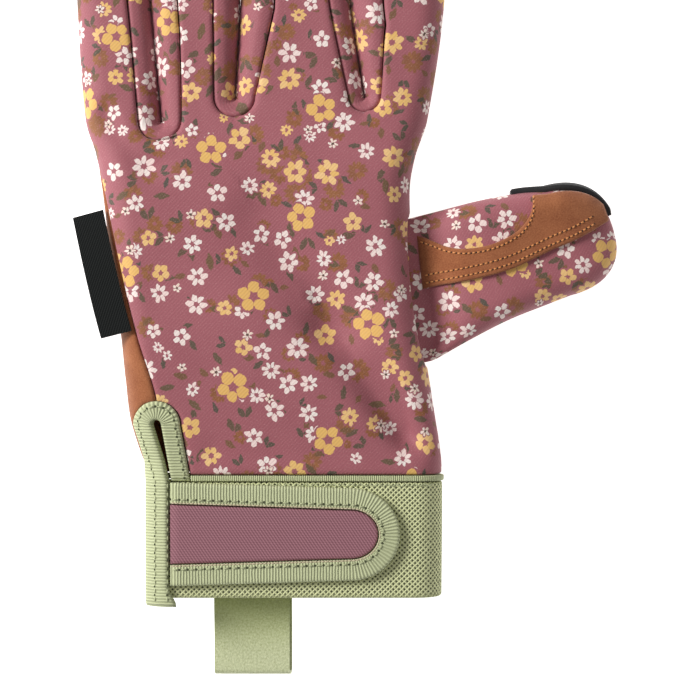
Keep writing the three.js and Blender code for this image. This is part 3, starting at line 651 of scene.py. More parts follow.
printCloth = {
    "ground": "#a65f67", "groundDeep": "#98525b", "wobble": 1.1, "twill": 0.8,
    # spacing, shift, turn, loose, band of chance, smallest and largest radius, fewest petals, more petals,
    # petal centre, half length and half width, colour, second colour, blur, strength, bare rim, dark middle
    "flowers": [
        dict(spacing=9.0, shift=(3.1, 7.7), turn=0.4, loose=0.8, low=0.00, high=0.34, small=2.4, large=3.9,
             petals=9, more=3, centre=0.60, half=0.40, wide=0.26, colour="#945c2c", other="#845026",
             blur=0.5, strength=0.92, halo=0.0, eye=0.0),
        dict(spacing=12.5, shift=(0.7, 2.9), turn=1.1, loose=0.9, low=0.00, high=0.55, small=2.6, large=3.7,
             petals=9, more=3, centre=0.58, half=0.42, wide=0.26, colour="#96602e", other="#875330",
             blur=0.5, strength=0.9, halo=0.0, eye=0.0),
        dict(spacing=8.4, shift=(5.3, 1.9), turn=0.2, loose=0.72, low=0.46, high=1.00, small=2.8, large=3.8,
             petals=5, more=3, centre=0.62, half=0.37, wide=0.31, colour="#f1e7df", other="#f3d9d2",
             blur=0.16, strength=0.97, halo=1.5, eye=0.0),
        dict(spacing=8.4, shift=(5.3, 1.9), turn=0.2, loose=0.72, low=0.00, high=0.32, small=3.4, large=4.1,
             petals=5, more=3, centre=0.61, half=0.38, wide=0.36, colour="#e6b868", other="#eec486",
             blur=0.16, strength=0.97, halo=1.3, eye=0.0),
        dict(spacing=13.5, shift=(1.3, 6.1), turn=0.9, loose=0.85, low=0.00, high=0.50, small=1.4, large=1.75,
             petals=5, more=1, centre=0.62, half=0.38, wide=0.27, colour="#f0e2d8", other="#f3dcc9",
             blur=0.2, strength=0.95, halo=1.8, eye=0.25),
        dict(spacing=31.0, shift=(9.5, 14.0), turn=0.3, loose=0.55, low=0.00, high=0.85, small=4.6, large=5.0,
             petals=5, more=0, centre=0.62, half=0.37, wide=0.36, colour="#e5b665", other="#e3b263",
             blur=0.09, strength=1.0, halo=0.8, eye=0.0),
    ],
    # spacing, shift, turn, band of chance, half length, half width, pair or single, colour, second colour
    "leaves": [
        dict(spacing=8.2, shift=(2.2, 4.4), turn=0.7, low=0.00, high=0.50, long=2.05, wide=0.92, pair=True,
             colour="#474838", other="#5b4a33"),
        dict(spacing=8.2, shift=(2.2, 4.4), turn=0.7, low=0.50, high=1.00, long=2.5, wide=1.0, pair=False,
             colour="#43463a", other="#6a5230"),
        dict(spacing=11.0, shift=(8.2, 0.4), turn=1.3, low=0.00, high=0.75, long=2.0, wide=1.0, pair=False,
             colour="#7d5434", other="#6e4f30"),
    ],
}


def scatter(tree, place, layer):
    # the cell of a loose scatter that a place is in: its room, its chances and the place from its middle
    spacing = layer["spacing"]
    spot = add(tree, "ShaderNodeMapping", {
        0: place, 1: (*layer["shift"], 0), 2: (0, 0, layer["turn"]), 3: (1 / spacing,) * 3})
    links = {"Vector": spot, "Scale": 1.0, "Randomness": layer.get("loose", 0.9)}
    cell = add(tree, "ShaderNodeTexVoronoi", links, voronoi_dimensions="2D", feature="F1")
    room = add(tree, "ShaderNodeTexVoronoi", links, voronoi_dimensions="2D", feature="N_SPHERE_RADIUS")
    chance = add(tree, "ShaderNodeSeparateColor", {0: cell.outputs["Color"]})
    offset = add(tree, "ShaderNodeVectorMath", {0: spot, 1: cell.outputs["Position"]}, operation="SUBTRACT")
    local = add(tree, "ShaderNodeVectorMath", {0: offset, "Scale": spacing}, operation="SCALE")
    return room.outputs["Radius"], chance, local


def flowers(tree, place, under, ground, layer):
    # one flower in some cells of a scatter, with separate petals round a bare middle
    room, chance, local = scatter(tree, place, layer)
    parts = add(tree, "ShaderNodeSeparateXYZ", {0: local})
    angle = add(tree, "ShaderNodeMath", {0: parts.outputs[1], 1: parts.outputs[0]}, operation="ARCTAN2")
    far = add(tree, "ShaderNodeVectorMath", {0: local}, operation="LENGTH").outputs[1]
    room = add(tree, "ShaderNodeMath", {0: room, 1: layer["spacing"] * 0.97}, operation="MULTIPLY")
    size = add(tree, "ShaderNodeMapRange", {0: chance.outputs[1], 3: layer["small"], 4: layer["large"]})
    size = add(tree, "ShaderNodeMath", {0: size, 1: room}, operation="MINIMUM")
    some = add(tree, "ShaderNodeMath", {0: chance.outputs[1], 1: layer["more"] + 0.99}, operation="MULTIPLY")
    count = add(tree, "ShaderNodeMath", {0: some}, operation="FLOOR")
    count = add(tree, "ShaderNodeMath", {0: count, 1: layer["petals"]}, operation="ADD")
    turns = add(tree, "ShaderNodeMath", {0: angle, 1: 1 / math.tau, 2: chance.outputs[0]},
                operation="MULTIPLY_ADD")
    turns = add(tree, "ShaderNodeMath", {0: turns, 1: count}, operation="MULTIPLY")
    petal = add(tree, "ShaderNodeMath", {0: turns}, operation="ROUND")
    within = add(tree, "ShaderNodeMath", {0: turns, 1: petal}, operation="SUBTRACT")
    which = add(tree, "ShaderNodeMath", {0: petal, 1: count}, operation="FLOORED_MODULO")
    seed = add(tree, "ShaderNodeCombineXYZ", {0: which, 1: chance.outputs[0], 2: chance.outputs[1]})
    vary = add(tree, "ShaderNodeTexWhiteNoise", {"Vector": seed}, noise_dimensions="3D")
    size = add(tree, "ShaderNodeMath", {
        0: size, 1: add(tree, "ShaderNodeMapRange", {0: vary.outputs[0], 3: 0.84, 4: 1.02})},
        operation="MULTIPLY")
    lean = add(tree, "ShaderNodeMath", {0: within, 1: count}, operation="DIVIDE")
    lean = add(tree, "ShaderNodeMath", {0: lean, 1: math.tau}, operation="MULTIPLY")
    reach = add(tree, "ShaderNodeMath", {0: far, 1: size}, operation="DIVIDE")
    cosine = add(tree, "ShaderNodeMath", {0: lean}, operation="COSINE")
    sine = add(tree, "ShaderNodeMath", {0: lean}, operation="SINE")
    out = add(tree, "ShaderNodeMath", {0: reach, 1: cosine}, operation="MULTIPLY")
    side = add(tree, "ShaderNodeMath", {0: reach, 1: sine}, operation="MULTIPLY")
    out = add(tree, "ShaderNodeMath", {0: out, 1: layer["centre"]}, operation="SUBTRACT")
    out = add(tree, "ShaderNodeMath", {0: out, 1: layer["half"]}, operation="DIVIDE")
    # the more petals a flower has, the narrower each one is
    narrow = add(tree, "ShaderNodeMath", {0: layer["petals"] * layer["wide"], 1: count}, operation="DIVIDE")
    side = add(tree, "ShaderNodeMath", {0: side, 1: narrow}, operation="DIVIDE")
    square = add(tree, "ShaderNodeMath", {0: side, 1: side}, operation="MULTIPLY")
    square = add(tree, "ShaderNodeMath", {0: out, 1: out, 2: square}, operation="MULTIPLY_ADD")
    shape = add(tree, "ShaderNodeMath", {0: 1.0, 1: square}, operation="SUBTRACT")
    above = add(tree, "ShaderNodeMath", {0: chance.outputs[2], 1: layer["low"]}, operation="GREATER_THAN")
    below = add(tree, "ShaderNodeMath", {0: chance.outputs[2], 1: layer["high"]}, operation="LESS_THAN")
    shown = add(tree, "ShaderNodeMath", {0: above, 1: below}, operation="MULTIPLY")
    if layer["halo"]:
        # a little bare ground keeps a flower off what is printed under it
        edge = add(tree, "ShaderNodeMath", {0: shape, 1: -layer["halo"]}, operation="GREATER_THAN")
        disc = add(tree, "ShaderNodeMath", {0: reach, 1: 0.75}, operation="LESS_THAN")
        clear = add(tree, "ShaderNodeMath", {0: edge, 1: disc}, operation="MAXIMUM")
        clear = add(tree, "ShaderNodeMath", {0: clear, 1: shown}, operation="MULTIPLY")
        under = add(tree, "ShaderNodeMix", {0: clear, 6: under, 7: ground}, data_type="RGBA").outputs[2]
    fill = add(tree, "ShaderNodeMapRange", {0: shape, 1: -layer["blur"], 2: layer["blur"]},
               interpolation_type="SMOOTHSTEP")
    if layer["eye"]:
        eye = add(tree, "ShaderNodeMath", {0: reach, 1: layer["eye"]}, operation="LESS_THAN")
        eye = add(tree, "ShaderNodeMath", {0: eye, 1: shown}, operation="MULTIPLY")
        under = add(tree, "ShaderNodeMix", {0: eye, 6: under, 7: linear("#5a4436")},
                    data_type="RGBA").outputs[2]
    amount = add(tree, "ShaderNodeMath", {0: fill, 1: shown}, operation="MULTIPLY")
    amount = add(tree, "ShaderNodeMath", {0: amount, 1: layer["strength"]}, operation="MULTIPLY")
    tint = add(tree, "ShaderNodeMix", {
        0: vary.outputs[0], 6: linear(layer["colour"]), 7: linear(layer["other"])}, data_type="RGBA")
    return add(tree, "ShaderNodeMix", {0: amount, 6: under, 7: tint.outputs[2]}, data_type="RGBA").outputs[2]


def leaves(tree, place, under, layer):
    # single leaves, or pairs that spread from one foot
    _, chance, local = scatter(tree, place, layer)
    turn = add(tree, "ShaderNodeMath", {0: chance.outputs[0], 1: math.tau}, operation="MULTIPLY")
    turned = add(tree, "ShaderNodeVectorRotate", {"Vector": local, "Angle": turn}, rotation_type="Z_AXIS")
    if layer["pair"]:
        folded = add(tree, "ShaderNodeVectorMath", {0: turned}, operation="ABSOLUTE")
        parts = add(tree, "ShaderNodeSeparateXYZ", {0: turned})
        mirrored = add(tree, "ShaderNodeSeparateXYZ", {0: folded})
        both = add(tree, "ShaderNodeCombineXYZ", {0: parts.outputs[0], 1: mirrored.outputs[1]})
        turned = add(tree, "ShaderNodeVectorRotate", {"Vector": both, "Angle": -0.5}, rotation_type="Z_AXIS")
    parts = add(tree, "ShaderNodeSeparateXYZ", {0: turned})
    size = add(tree, "ShaderNodeMapRange", {0: chance.outputs[1], 3: 0.7, 4: 1.1})
    reach = add(tree, "ShaderNodeMath", {0: parts.outputs[0], 1: size}, operation="DIVIDE")
    side = add(tree, "ShaderNodeMath", {0: parts.outputs[1], 1: size}, operation="DIVIDE")
    foot = layer["long"] * 1.15 if layer["pair"] else 0.0
    reach = add(tree, "ShaderNodeMath", {0: reach, 1: foot}, operation="SUBTRACT")
    reach = add(tree, "ShaderNodeMath", {0: reach, 1: layer["long"]}, operation="DIVIDE")
    side = add(tree, "ShaderNodeMath", {0: side, 1: layer["wide"]}, operation="DIVIDE")
    side = add(tree, "ShaderNodeMath", {0: side}, operation="ABSOLUTE")
    square = add(tree, "ShaderNodeMath", {0: reach, 1: reach, 2: side}, operation="MULTIPLY_ADD")
    shape = add(tree, "ShaderNodeMath", {0: 1.0, 1: square}, operation="SUBTRACT")
    fill = add(tree, "ShaderNodeMapRange", {0: shape, 1: -0.1, 2: 0.22}, interpolation_type="SMOOTHSTEP")
    above = add(tree, "ShaderNodeMath", {0: chance.outputs[2], 1: layer["low"]}, operation="GREATER_THAN")
    below = add(tree, "ShaderNodeMath", {0: chance.outputs[2], 1: layer["high"]}, operation="LESS_THAN")
    amount = add(tree, "ShaderNodeMath", {0: above, 1: below}, operation="MULTIPLY")
    amount = add(tree, "ShaderNodeMath", {0: amount, 1: fill}, operation="MULTIPLY")
    amount = add(tree, "ShaderNodeMath", {0: amount, 1: 0.92}, operation="MULTIPLY")
    tint = add(tree, "ShaderNodeMix", {
        0: chance.outputs[1], 6: linear(layer["colour"]), 7: linear(layer["other"])}, data_type="RGBA")
    return add(tree, "ShaderNodeMix", {0: amount, 6: under, 7: tint.outputs[2]}, data_type="RGBA").outputs[2]


def printedJersey():
    # Polyester stretch jersey with a flower print: matt, faint diagonal twill, fine pale flecks
    material, tree, shader = newMaterial("printed_jersey", 0.72)
    place = clothPlace(tree)
    noise = add(tree, "ShaderNodeTexNoise", {"Vector": place, "Scale": 0.9, "Detail": 2.0})
    shake = add(tree, "ShaderNodeVectorMath", {0: noise.outputs[1], 1: (0.5, 0.5, 0.5)}, operation="SUBTRACT")
    shake = add(tree, "ShaderNodeVectorMath", {0: shake, "Scale": printCloth["wobble"]}, operation="SCALE")
    drawn = add(tree, "ShaderNodeVectorMath", {0: place, 1: shake}, operation="ADD")
    flat = add(tree, "ShaderNodeVectorMath", {0: drawn, 1: (1, 1, 0)}, operation="MULTIPLY")
    patch = add(tree, "ShaderNodeTexNoise", {"Vector": place, "Scale": 0.06, "Detail": 2.0})
    ground = add(tree, "ShaderNodeMix", {
        0: patch, 6: linear(printCloth["groundDeep"]), 7: linear(printCloth["ground"])}, data_type="RGBA")
    ground = ground.outputs[2]
    colour = ground
    for layer in printCloth["flowers"][:2]:
        colour = flowers(tree, flat, colour, ground, layer)
    for layer in printCloth["leaves"]:
        colour = leaves(tree, flat, colour, layer)
    for layer in printCloth["flowers"][2:]:
        colour = flowers(tree, flat, colour, ground, layer)
    # threads: a diagonal twill and pale flecks
    twill = lines(tree, place, (0.72, -0.69, 0), printCloth["twill"])
    fleck = add(tree, "ShaderNodeTexNoise", {"Vector": place, "Scale": 2.6, "Detail": 1.0})
    light = add(tree, "ShaderNodeMapRange", {0: fleck, 1: 0.56, 2: 0.72, 3: 0.0, 4: 0.22})
    colour = add(tree, "ShaderNodeMix",
                 {0: light, 6: colour, 7: linear("#d9a7a6")}, data_type="RGBA").outputs[2]
    dark = add(tree, "ShaderNodeMapRange", {0: twill, 1: -1.0, 2: 1.0, 3: 0.95, 4: 1.03})
    colour = add(tree, "ShaderNodeVectorMath", {0: colour, "Scale": dark}, operation="SCALE")
    tree.links.new(colour.outputs[0], shader.inputs["Base Color"])
    height = add(tree, "ShaderNodeMath", {0: twill, 1: 0.5, 2: fleck}, operation="MULTIPLY_ADD")
    bump = add(tree, "ShaderNodeBump", {"Strength": 0.25, "Distance": 0.00012, "Height": height})
    tree.links.new(bump.outputs[0], shader.inputs["Normal"])
    shader.inputs["Sheen Weight"].default_value = 0.15
    return material


def brushedSuede():
    # Brushed split leather: dull nap in soft patches, with a fine sandy grain
    material, tree, shader = newMaterial("brushed_suede", 0.95)
    place = clothPlace(tree)
    nap = add(tree, "ShaderNodeTexNoise", {"Vector": place, "Scale": 0.16, "Detail": 3.0})
    grain = add(tree, "ShaderNodeTexNoise", {"Vector": place, "Scale": 2.2, "Detail": 3.0, "Roughness": 0.7})
    mixed = add(tree, "ShaderNodeMath", {0: nap, 1: 0.6, 2: grain}, operation="MULTIPLY_ADD")
    tone = add(tree, "ShaderNodeMapRange", {0: mixed, 1: 0.55, 2: 1.05})
    colour = add(tree, "ShaderNodeMix",
                 {0: tone, 6: linear("#844a2d"), 7: linear("#ac6d47")}, data_type="RGBA")
    tree.links.new(colour.outputs[2], shader.inputs["Base Color"])
    bump = add(tree, "ShaderNodeBump", {"Strength": 0.6, "Distance": 0.0002, "Height": grain})
    tree.links.new(bump.outputs[0], shader.inputs["Normal"])
    shader.inputs["Sheen Weight"].default_value = 0.25
    shader.inputs["Specular IOR Level"].default_value = 0.2
    return material


def grosgrainTape(name, pitch, pale, deep, along=(0, 1, 0)):
    # Ribbed woven tape: cords across the tape with narrow shadows between them
    material, tree, shader = newMaterial(name, 0.8)
    place = clothPlace(tree)
    waver = add(tree, "ShaderNodeTexNoise", {"Vector": place, "Scale": 0.7, "Detail": 1.0})
    shake = add(tree, "ShaderNodeVectorMath", {0: waver.outputs[1], "Scale": 0.25}, operation="SCALE")
    place = add(tree, "ShaderNodeVectorMath", {0: place, 1: shake}, operation="ADD")
    ribs = lines(tree, place, along, pitch)
    yarn = add(tree, "ShaderNodeTexNoise", {"Vector": place, "Scale": 3.0, "Detail": 2.0})
    tone = add(tree, "ShaderNodeMapRange", {0: ribs, 1: -1.0, 2: 0.1, 3: 0.0, 4: 0.85},
               interpolation_type="SMOOTHSTEP")
    tone = add(tree, "ShaderNodeMath", {0: yarn, 1: 0.3, 2: tone}, operation="MULTIPLY_ADD")
    colour = add(tree, "ShaderNodeMix", {0: tone, 6: linear(deep), 7: linear(pale)}, data_type="RGBA")
    tree.links.new(colour.outputs[2], shader.inputs["Base Color"])
    height = add(tree, "ShaderNodeMath", {0: yarn, 1: 0.35, 2: ribs}, operation="MULTIPLY_ADD")
    bump = add(tree, "ShaderNodeBump", {"Strength": 0.7, "Distance": 0.00016, "Height": height})
    tree.links.new(bump.outputs[0], shader.inputs["Normal"])
    shader.inputs["Sheen Weight"].default_value = 0.1
    return material


# the hole colour is painted shade: the dark seen through the mesh's holes
elastic = {"across": 1.55, "up": 1.5, "thread": "#d4d7a2", "threadPale": "#e8eab8", "hole": "#3a4122",
           "selvage": 1.2, "selvageColour": "#c6ca96"}


def elasticMesh():
    # Knitted elastic: plump threads in a lattice, with painted shade in the holes between them
    material, tree, shader = newMaterial("elastic_mesh", 0.85)
    place = clothPlace(tree)
    waver = add(tree, "ShaderNodeTexNoise", {"Vector": place, "Scale": 0.35, "Detail": 1.0})
    shake = add(tree, "ShaderNodeVectorMath", {0: waver.outputs[1], "Scale": 0.5}, operation="SCALE")
    place = add(tree, "ShaderNodeVectorMath", {0: place, 1: shake}, operation="ADD")
    rising = lines(tree, place, (1 / elastic["across"], 1 / elastic["up"], 0), 1.0)
    falling = lines(tree, place, (1 / elastic["across"], -1 / elastic["up"], 0), 1.0)
    both = add(tree, "ShaderNodeMath", {0: rising, 1: falling}, operation="MAXIMUM")
    fuzz = add(tree, "ShaderNodeTexNoise", {"Vector": place, "Scale": 3.0, "Detail": 2.0})
    height = add(tree, "ShaderNodeMath", {0: fuzz, 1: 0.5, 2: both}, operation="MULTIPLY_ADD")
    tone = add(tree, "ShaderNodeMapRange", {0: height, 1: -0.35, 2: 0.35}, interpolation_type="SMOOTHSTEP")
    knot = add(tree, "ShaderNodeMath", {0: rising, 1: falling}, operation="MULTIPLY")
    knot = add(tree, "ShaderNodeMapRange", {0: knot, 1: -0.2, 2: 0.9})
    thread = add(tree, "ShaderNodeMix", {
        0: knot, 6: linear(elastic["thread"]), 7: linear(elastic["threadPale"])}, data_type="RGBA")
    # painted shade fills the holes between the threads
    colour = add(tree, "ShaderNodeMix", {0: tone, 6: linear(elastic["hole"]), 7: thread.outputs[2]},
                 data_type="RGBA")
    # a closed selvage runs along the foot
    up = add(tree, "ShaderNodeSeparateXYZ", {0: place}).outputs[1]
    foot = rise(0) - cuffSizes["length"] + elastic["selvage"]
    closed = add(tree, "ShaderNodeMapRange", {0: up, 1: foot + 0.2, 2: foot - 0.2})
    colour = add(tree, "ShaderNodeMix", {
        0: closed, 6: colour.outputs[2], 7: linear(elastic["selvageColour"])}, data_type="RGBA")
    tree.links.new(colour.outputs[2], shader.inputs["Base Color"])
    bump = add(tree, "ShaderNodeBump", {"Strength": 0.9, "Distance": 0.0003, "Height": height})
    tree.links.new(bump.outputs[0], shader.inputs["Normal"])
    return material


def twillTape(name, pale, deep, pitch, rough=0.75, shine=0.4):
    # Fine woven twill: steep diagonal threads of two close shades
    material, tree, shader = newMaterial(name, rough)
    place = clothPlace(tree)
    shader.inputs["Specular IOR Level"].default_value = shine
    twill = lines(tree, place, (0.83, 0.56, 0), pitch)
    picks = lines(tree, place, (0, 1, 0), pitch * 0.9)
    yarn = add(tree, "ShaderNodeTexNoise", {"Vector": place, "Scale": 3.5, "Detail": 1.0})
    height = add(tree, "ShaderNodeMath", {0: picks, 1: 0.4, 2: twill}, operation="MULTIPLY_ADD")
    tone = add(tree, "ShaderNodeMath", {0: yarn, 1: 0.8, 2: height}, operation="MULTIPLY_ADD")
    tone = add(tree, "ShaderNodeMapRange", {0: tone, 1: -0.9, 2: 1.6})
    colour = add(tree, "ShaderNodeMix", {0: tone, 6: linear(deep), 7: linear(pale)}, data_type="RGBA")
    tree.links.new(colour.outputs[2], shader.inputs["Base Color"])
    bump = add(tree, "ShaderNodeBump", {"Strength": 0.5, "Distance": 0.00012, "Height": height})
    tree.links.new(bump.outputs[0], shader.inputs["Normal"])
    return material


ribbonRun = 66.0


def brushedRibbon():
    # Brushed ribbon: a short fuzzy pile that breaks the light into specks, with painted shade that darkens it
    # towards the cuff
    material, tree, shader = newMaterial("brushed_ribbon", 0.95)
    place = clothPlace(tree)
    pile = add(tree, "ShaderNodeTexNoise", {"Vector": place, "Scale": 1.7, "Detail": 3.0, "Roughness": 0.75})
    tone = add(tree, "ShaderNodeMapRange", {0: pile, 1: 0.32, 2: 0.68})
    colour = add(tree, "ShaderNodeMix",
                 {0: tone, 6: linear("#b0b684"), 7: linear("#e2e6bf")}, data_type="RGBA")
    # painted shade: deep is a darker copy of the pile's colours, standing in for the cuff's shadow on the
    # ribbon
    deep = add(tree, "ShaderNodeMix", {0: tone, 6: linear("#a4ad68"), 7: linear("#c6cf8e")}, data_type="RGBA")
    run = add(tree, "ShaderNodeSeparateXYZ", {0: place}).outputs[1]
    fromFold = add(tree, "ShaderNodeMath", {0: run, 1: ribbonRun / 2}, operation="SUBTRACT")
    fromFold = add(tree, "ShaderNodeMath", {0: fromFold}, operation="ABSOLUTE")
    # painted shade: full from 25 mm off the fold towards the cuff, gone 4 mm from the fold
    outOfCuffShade = add(tree, "ShaderNodeMapRange", {0: fromFold, 1: 25.0, 2: 4.0}, interpolation_type="SMOOTHSTEP")
    colour = add(tree, "ShaderNodeMix",
                 {0: outOfCuffShade, 6: deep.outputs[2], 7: colour.outputs[2]}, data_type="RGBA")
    tree.links.new(colour.outputs[2], shader.inputs["Base Color"])
    bump = add(tree, "ShaderNodeBump", {"Strength": 0.7, "Distance": 0.0003, "Height": pile})
    tree.links.new(bump.outputs[0], shader.inputs["Normal"])
    shader.inputs["Sheen Weight"].default_value = 0.3
    return material


def coatedEdge():
    # Coated black edge cloth: nearly smooth, with a low shine
    material, tree, shader = newMaterial("coated_edge", 0.65)
    place = clothPlace(tree)
    grain = add(tree, "ShaderNodeTexNoise", {"Vector": place, "Scale": 1.2, "Detail": 3.0})
    colour = add(tree, "ShaderNodeMix",
                 {0: grain, 6: linear("#070608"), 7: linear("#121114")}, data_type="RGBA")
    tree.links.new(colour.outputs[2], shader.inputs["Base Color"])
    bump = add(tree, "ShaderNodeBump", {"Strength": 0.3, "Distance": 0.0002, "Height": grain})
    tree.links.new(bump.outputs[0], shader.inputs["Normal"])
    return material


def sewingThread(name, colour, dark):
    # Twisted polyester thread: two plies, with a little shine; also the dark discs of painted shade in needle
    # holes
    material, tree, shader = newMaterial(name, 0.6)
    place = add(tree, "ShaderNodeTexCoord").outputs["Object"]
    ply = add(tree, "ShaderNodeTexNoise", {"Vector": place, "Scale": 2500.0, "Detail": 1.0})
    tint = add(tree, "ShaderNodeMix", {0: ply, 6: linear(dark), 7: linear(colour)}, data_type="RGBA")
    tree.links.new(tint.outputs[2], shader.inputs["Base Color"])
    return material


jersey = printedJersey()
suede = brushedSuede()
guard = coatedEdge()
elasticCloth = elasticMesh()
tape = grosgrainTape("grosgrain_tape", 0.85, "#c4c99e", "#9a9f76")
trimTape = grosgrainTape("fine_ribbed_trim", 0.6, "#c4c99c", "#8f9468", (1, 0, 0))
inset = twillTape("twill_tape", "#a8757e", "#80505a", 0.75)
labelCloth = twillTape("woven_label", "#232524", "#121313", 0.7, 0.95, 0.1)
ribbon = brushedRibbon()
orangeThread = sewingThread("orange_thread", "#e8a468", "#c0783c")
greenThread = sewingThread("green_thread", "#c9cda6", "#8a9068")
# painted shade: dark discs for the shade inside the needle holes of the suede
needleHoleShade = sewingThread("needle_hole_shade", "#3a2413", "#2a1a0e")
paleThread = sewingThread("pale_thread", "#d9cdb0", "#b3a684")
# painted shade: dark discs for the shade inside the needle holes of the tapes
tapeHoleShade = sewingThread("tape_hole_shade", "#454a2a", "#33371e")


back = makeCloth("back_cloth", handPanel(1, hand["clothWall"]), 0.8, 1.3, backRelief, jersey)
palm = makeCloth("palm_suede", handPanel(-1, hand["suedeWall"]), 0.6, 1.2, None, suede)
print("hand panels made")


# gussets between the fingers
gussetMesh = {"columns": 28, "rows": 44, "turns": 24, "printShift": 70}


def gussetPatch(fork, f):
    # each strip is cut from its own place in the print
    printed = gussetMesh["printShift"] * f

    def ends(s, side):
        return [face * max(gussetReach(fork, s, side, face) - seamGap, 0) for face in (-1, 1)]

    def spread(low, high, point):
        row = []
        for share in spaced(gussetMesh["columns"], 0.6):
            reach = lerp(low, high, share)
            row.append(point(abs(reach), -1 if reach < 0 else 1, reach))
        return row

    def sideRow(s, side):
        which = f if side < 0 else f + 1
        at = slitPlace(fingers[which], fork["y"], s)

        def point(reach, face, signed):
            out, inner, _ = upright(fingerSleeves[which].point(at, -side, reach, face, hand["clothWall"]))
            return out, inner, (signed + printed, side * (at - fork["y"] + 4))
        return spread(*ends(s, side), point)

    def turnRow(share):
        side = -1 if share < 0.5 else 1

        def point(reach, face, signed):
            turn = quarter * abs(2 * share - 1)
            out, inner, _ = forkPoint(fork, turn, side, reach, face, hand["clothWall"])
            return out, inner, (signed + printed, 8 * (share - 0.5))
        return spread(*ends(0, 1), point)

    runs = [4 / 3 * i / gussetMesh["rows"] for i in range(gussetMesh["rows"] + 1)]
    rows = [sideRow(s, -1) for s in reversed(runs)]
    rows += [turnRow(share) for share in steps(gussetMesh["turns"])[1:-1]]
    return rows + [sideRow(s, 1) for s in runs]


gussetSoft = {"swell": 0.55, "pucker": 0.13, "slant": 0.8, "perMillimetre": 1.9}


def gussetRelief(point, flat, away):
    # the strip swells into the slit, with small slanting puckers beside it
    wave = math.sin((flat[1] + gussetSoft["slant"] * abs(flat[0])) * gussetSoft["perMillimetre"])
    return (gussetSoft["swell"] * ease(away, 0.5, 3.5)
            + gussetSoft["pucker"] * wave * ease(away, 1, 3))


gussets = [makeCloth(f"{name}_cloth", [gussetPatch(fork, f)], 1.0, 1.2, gussetRelief, jersey)
           for f, (name, fork) in enumerate(zip(gusset["names"], forks))]
print("gussets made")

# thumb, built along its own axis and turned into place
thumbCap = thumbSizes["rows"][-1][0] * thumbSizes["length"]
thumbRoot = (handRight(rise(0) + thumbSizes["rise"]), rise(0) + thumbSizes["rise"])
thumbTurn = math.radians(thumbSizes["turn"])


def thumbColumn(column, size):
    return lambda u: along(thumbSizes["rows"], u / thumbSizes["length"], column) * thumbSizes[size]


thumbSleeve = Sleeve(
    thumbColumn(1, "width"), thumbColumn(2, "width"), thumbColumn(4, "thick"), thumbColumn(3, "thick"),
    lambda u: thumbSizes["roll"], lambda u: clamp((u - thumbCap) / (thumbSizes["length"] - thumbCap)),
    thumbSizes["tipAt"] * thumbSizes["width"], thumbSizes["rounds"])


def turned(point, toHand=True):
    # from the thumb's own frame to the hand's, or back
    x, y, z = point
    c, s = math.cos(thumbTurn), math.sin(thumbTurn)
    if toHand:
        return (thumbRoot[0] + x * c - y * s, thumbRoot[1] + x * s + y * c, z)
    x, y = x - thumbRoot[0], y - thumbRoot[1]
    return (x * c + y * s, -x * s + y * c, z)


def onHand(point):
    return turned(point[0]), turned(point[1]), point[2]


holeLow = turned((handRight(holeY(0)), holeY(0), 0), False)
holeHigh = turned((handRight(holeY(1)), holeY(1), 0), False)


def rootAt(v):
    return lerp(holeLow[0], holeHigh[0], (v - holeLow[1]) / (holeHigh[1] - holeLow[1]))


def thumbPatch(face, wall):
    rows = []
    shares = steps(36)
    low, high = thumbSizes["rows"][0][1] * thumbSizes["width"], thumbSizes["rows"][0][2] * thumbSizes["width"]

    def rowAt(t, tuck):
        row = []
        for share in shares:
            across = (1 - math.cos(math.pi * share)) / 2
            root = rootAt(lerp(low, high, across)) - tuck * math.sin(math.pi * share)
            if t <= 1:
                at = lerp(root, thumbCap, t)
            else:
                at = lerp(thumbCap, thumbSizes["length"], math.sin(quarter * (t - 1)))
            reach = lerp(seamGap / 2, thumbSleeve.girth(at) - seamGap / 2, across)
            row.append(onHand(thumbSleeve.fromLeft(at, reach, face, wall)))
        return row

    if face > 0:
        rows.append(rowAt(0, thumbSizes["tuck"]))
    else:
        cut = []
        for share in shares:
            y = clamp(holeY(share), holeY(0) + 4 * seamGap, holeY(1) - 4 * seamGap)
            reach = max(holeEdge(y, -1) - 3 * seamGap, 2 * seamGap)
            out, inner, _ = upright(handSleeve.point(y, 1, reach, -1, wall))
            cut.append((out, inner, (turned(out, False)[0], turned(out, False)[1])))
        rows.append(cut)
    rows += [rowAt(t, 0) for t in steps(30)[1:]]
    rows += [rowAt(1 + t, 0) for t in steps(16)[1:]]
    return rows


def saddlePatch():
    rows = []
    for t in steps(72):
        up = lerp(0.01, thumbSizes["patch"][-1][0], t)
        low, high = (along(thumbSizes["patch"], up, column) * thumbSizes["width"] for column in (1, 2))
        row = []
        for share in spaced(24, 0.7):
            at = up * thumbSizes["length"] + rootAt(lerp(low, high, share)) * max(1 - 3 * up, 0)
            limit = thumbSleeve.side(at, 1) - thumbSizes["edgeShown"] - seamGap
            across = lerp(low, min(high, limit), share)
            wall = thumbSizes["patchWall"]
            row.append(onHand(thumbSleeve.fromAbove(at, across, wall, wall + seamGap)))
        rows.append(row)
    return rows


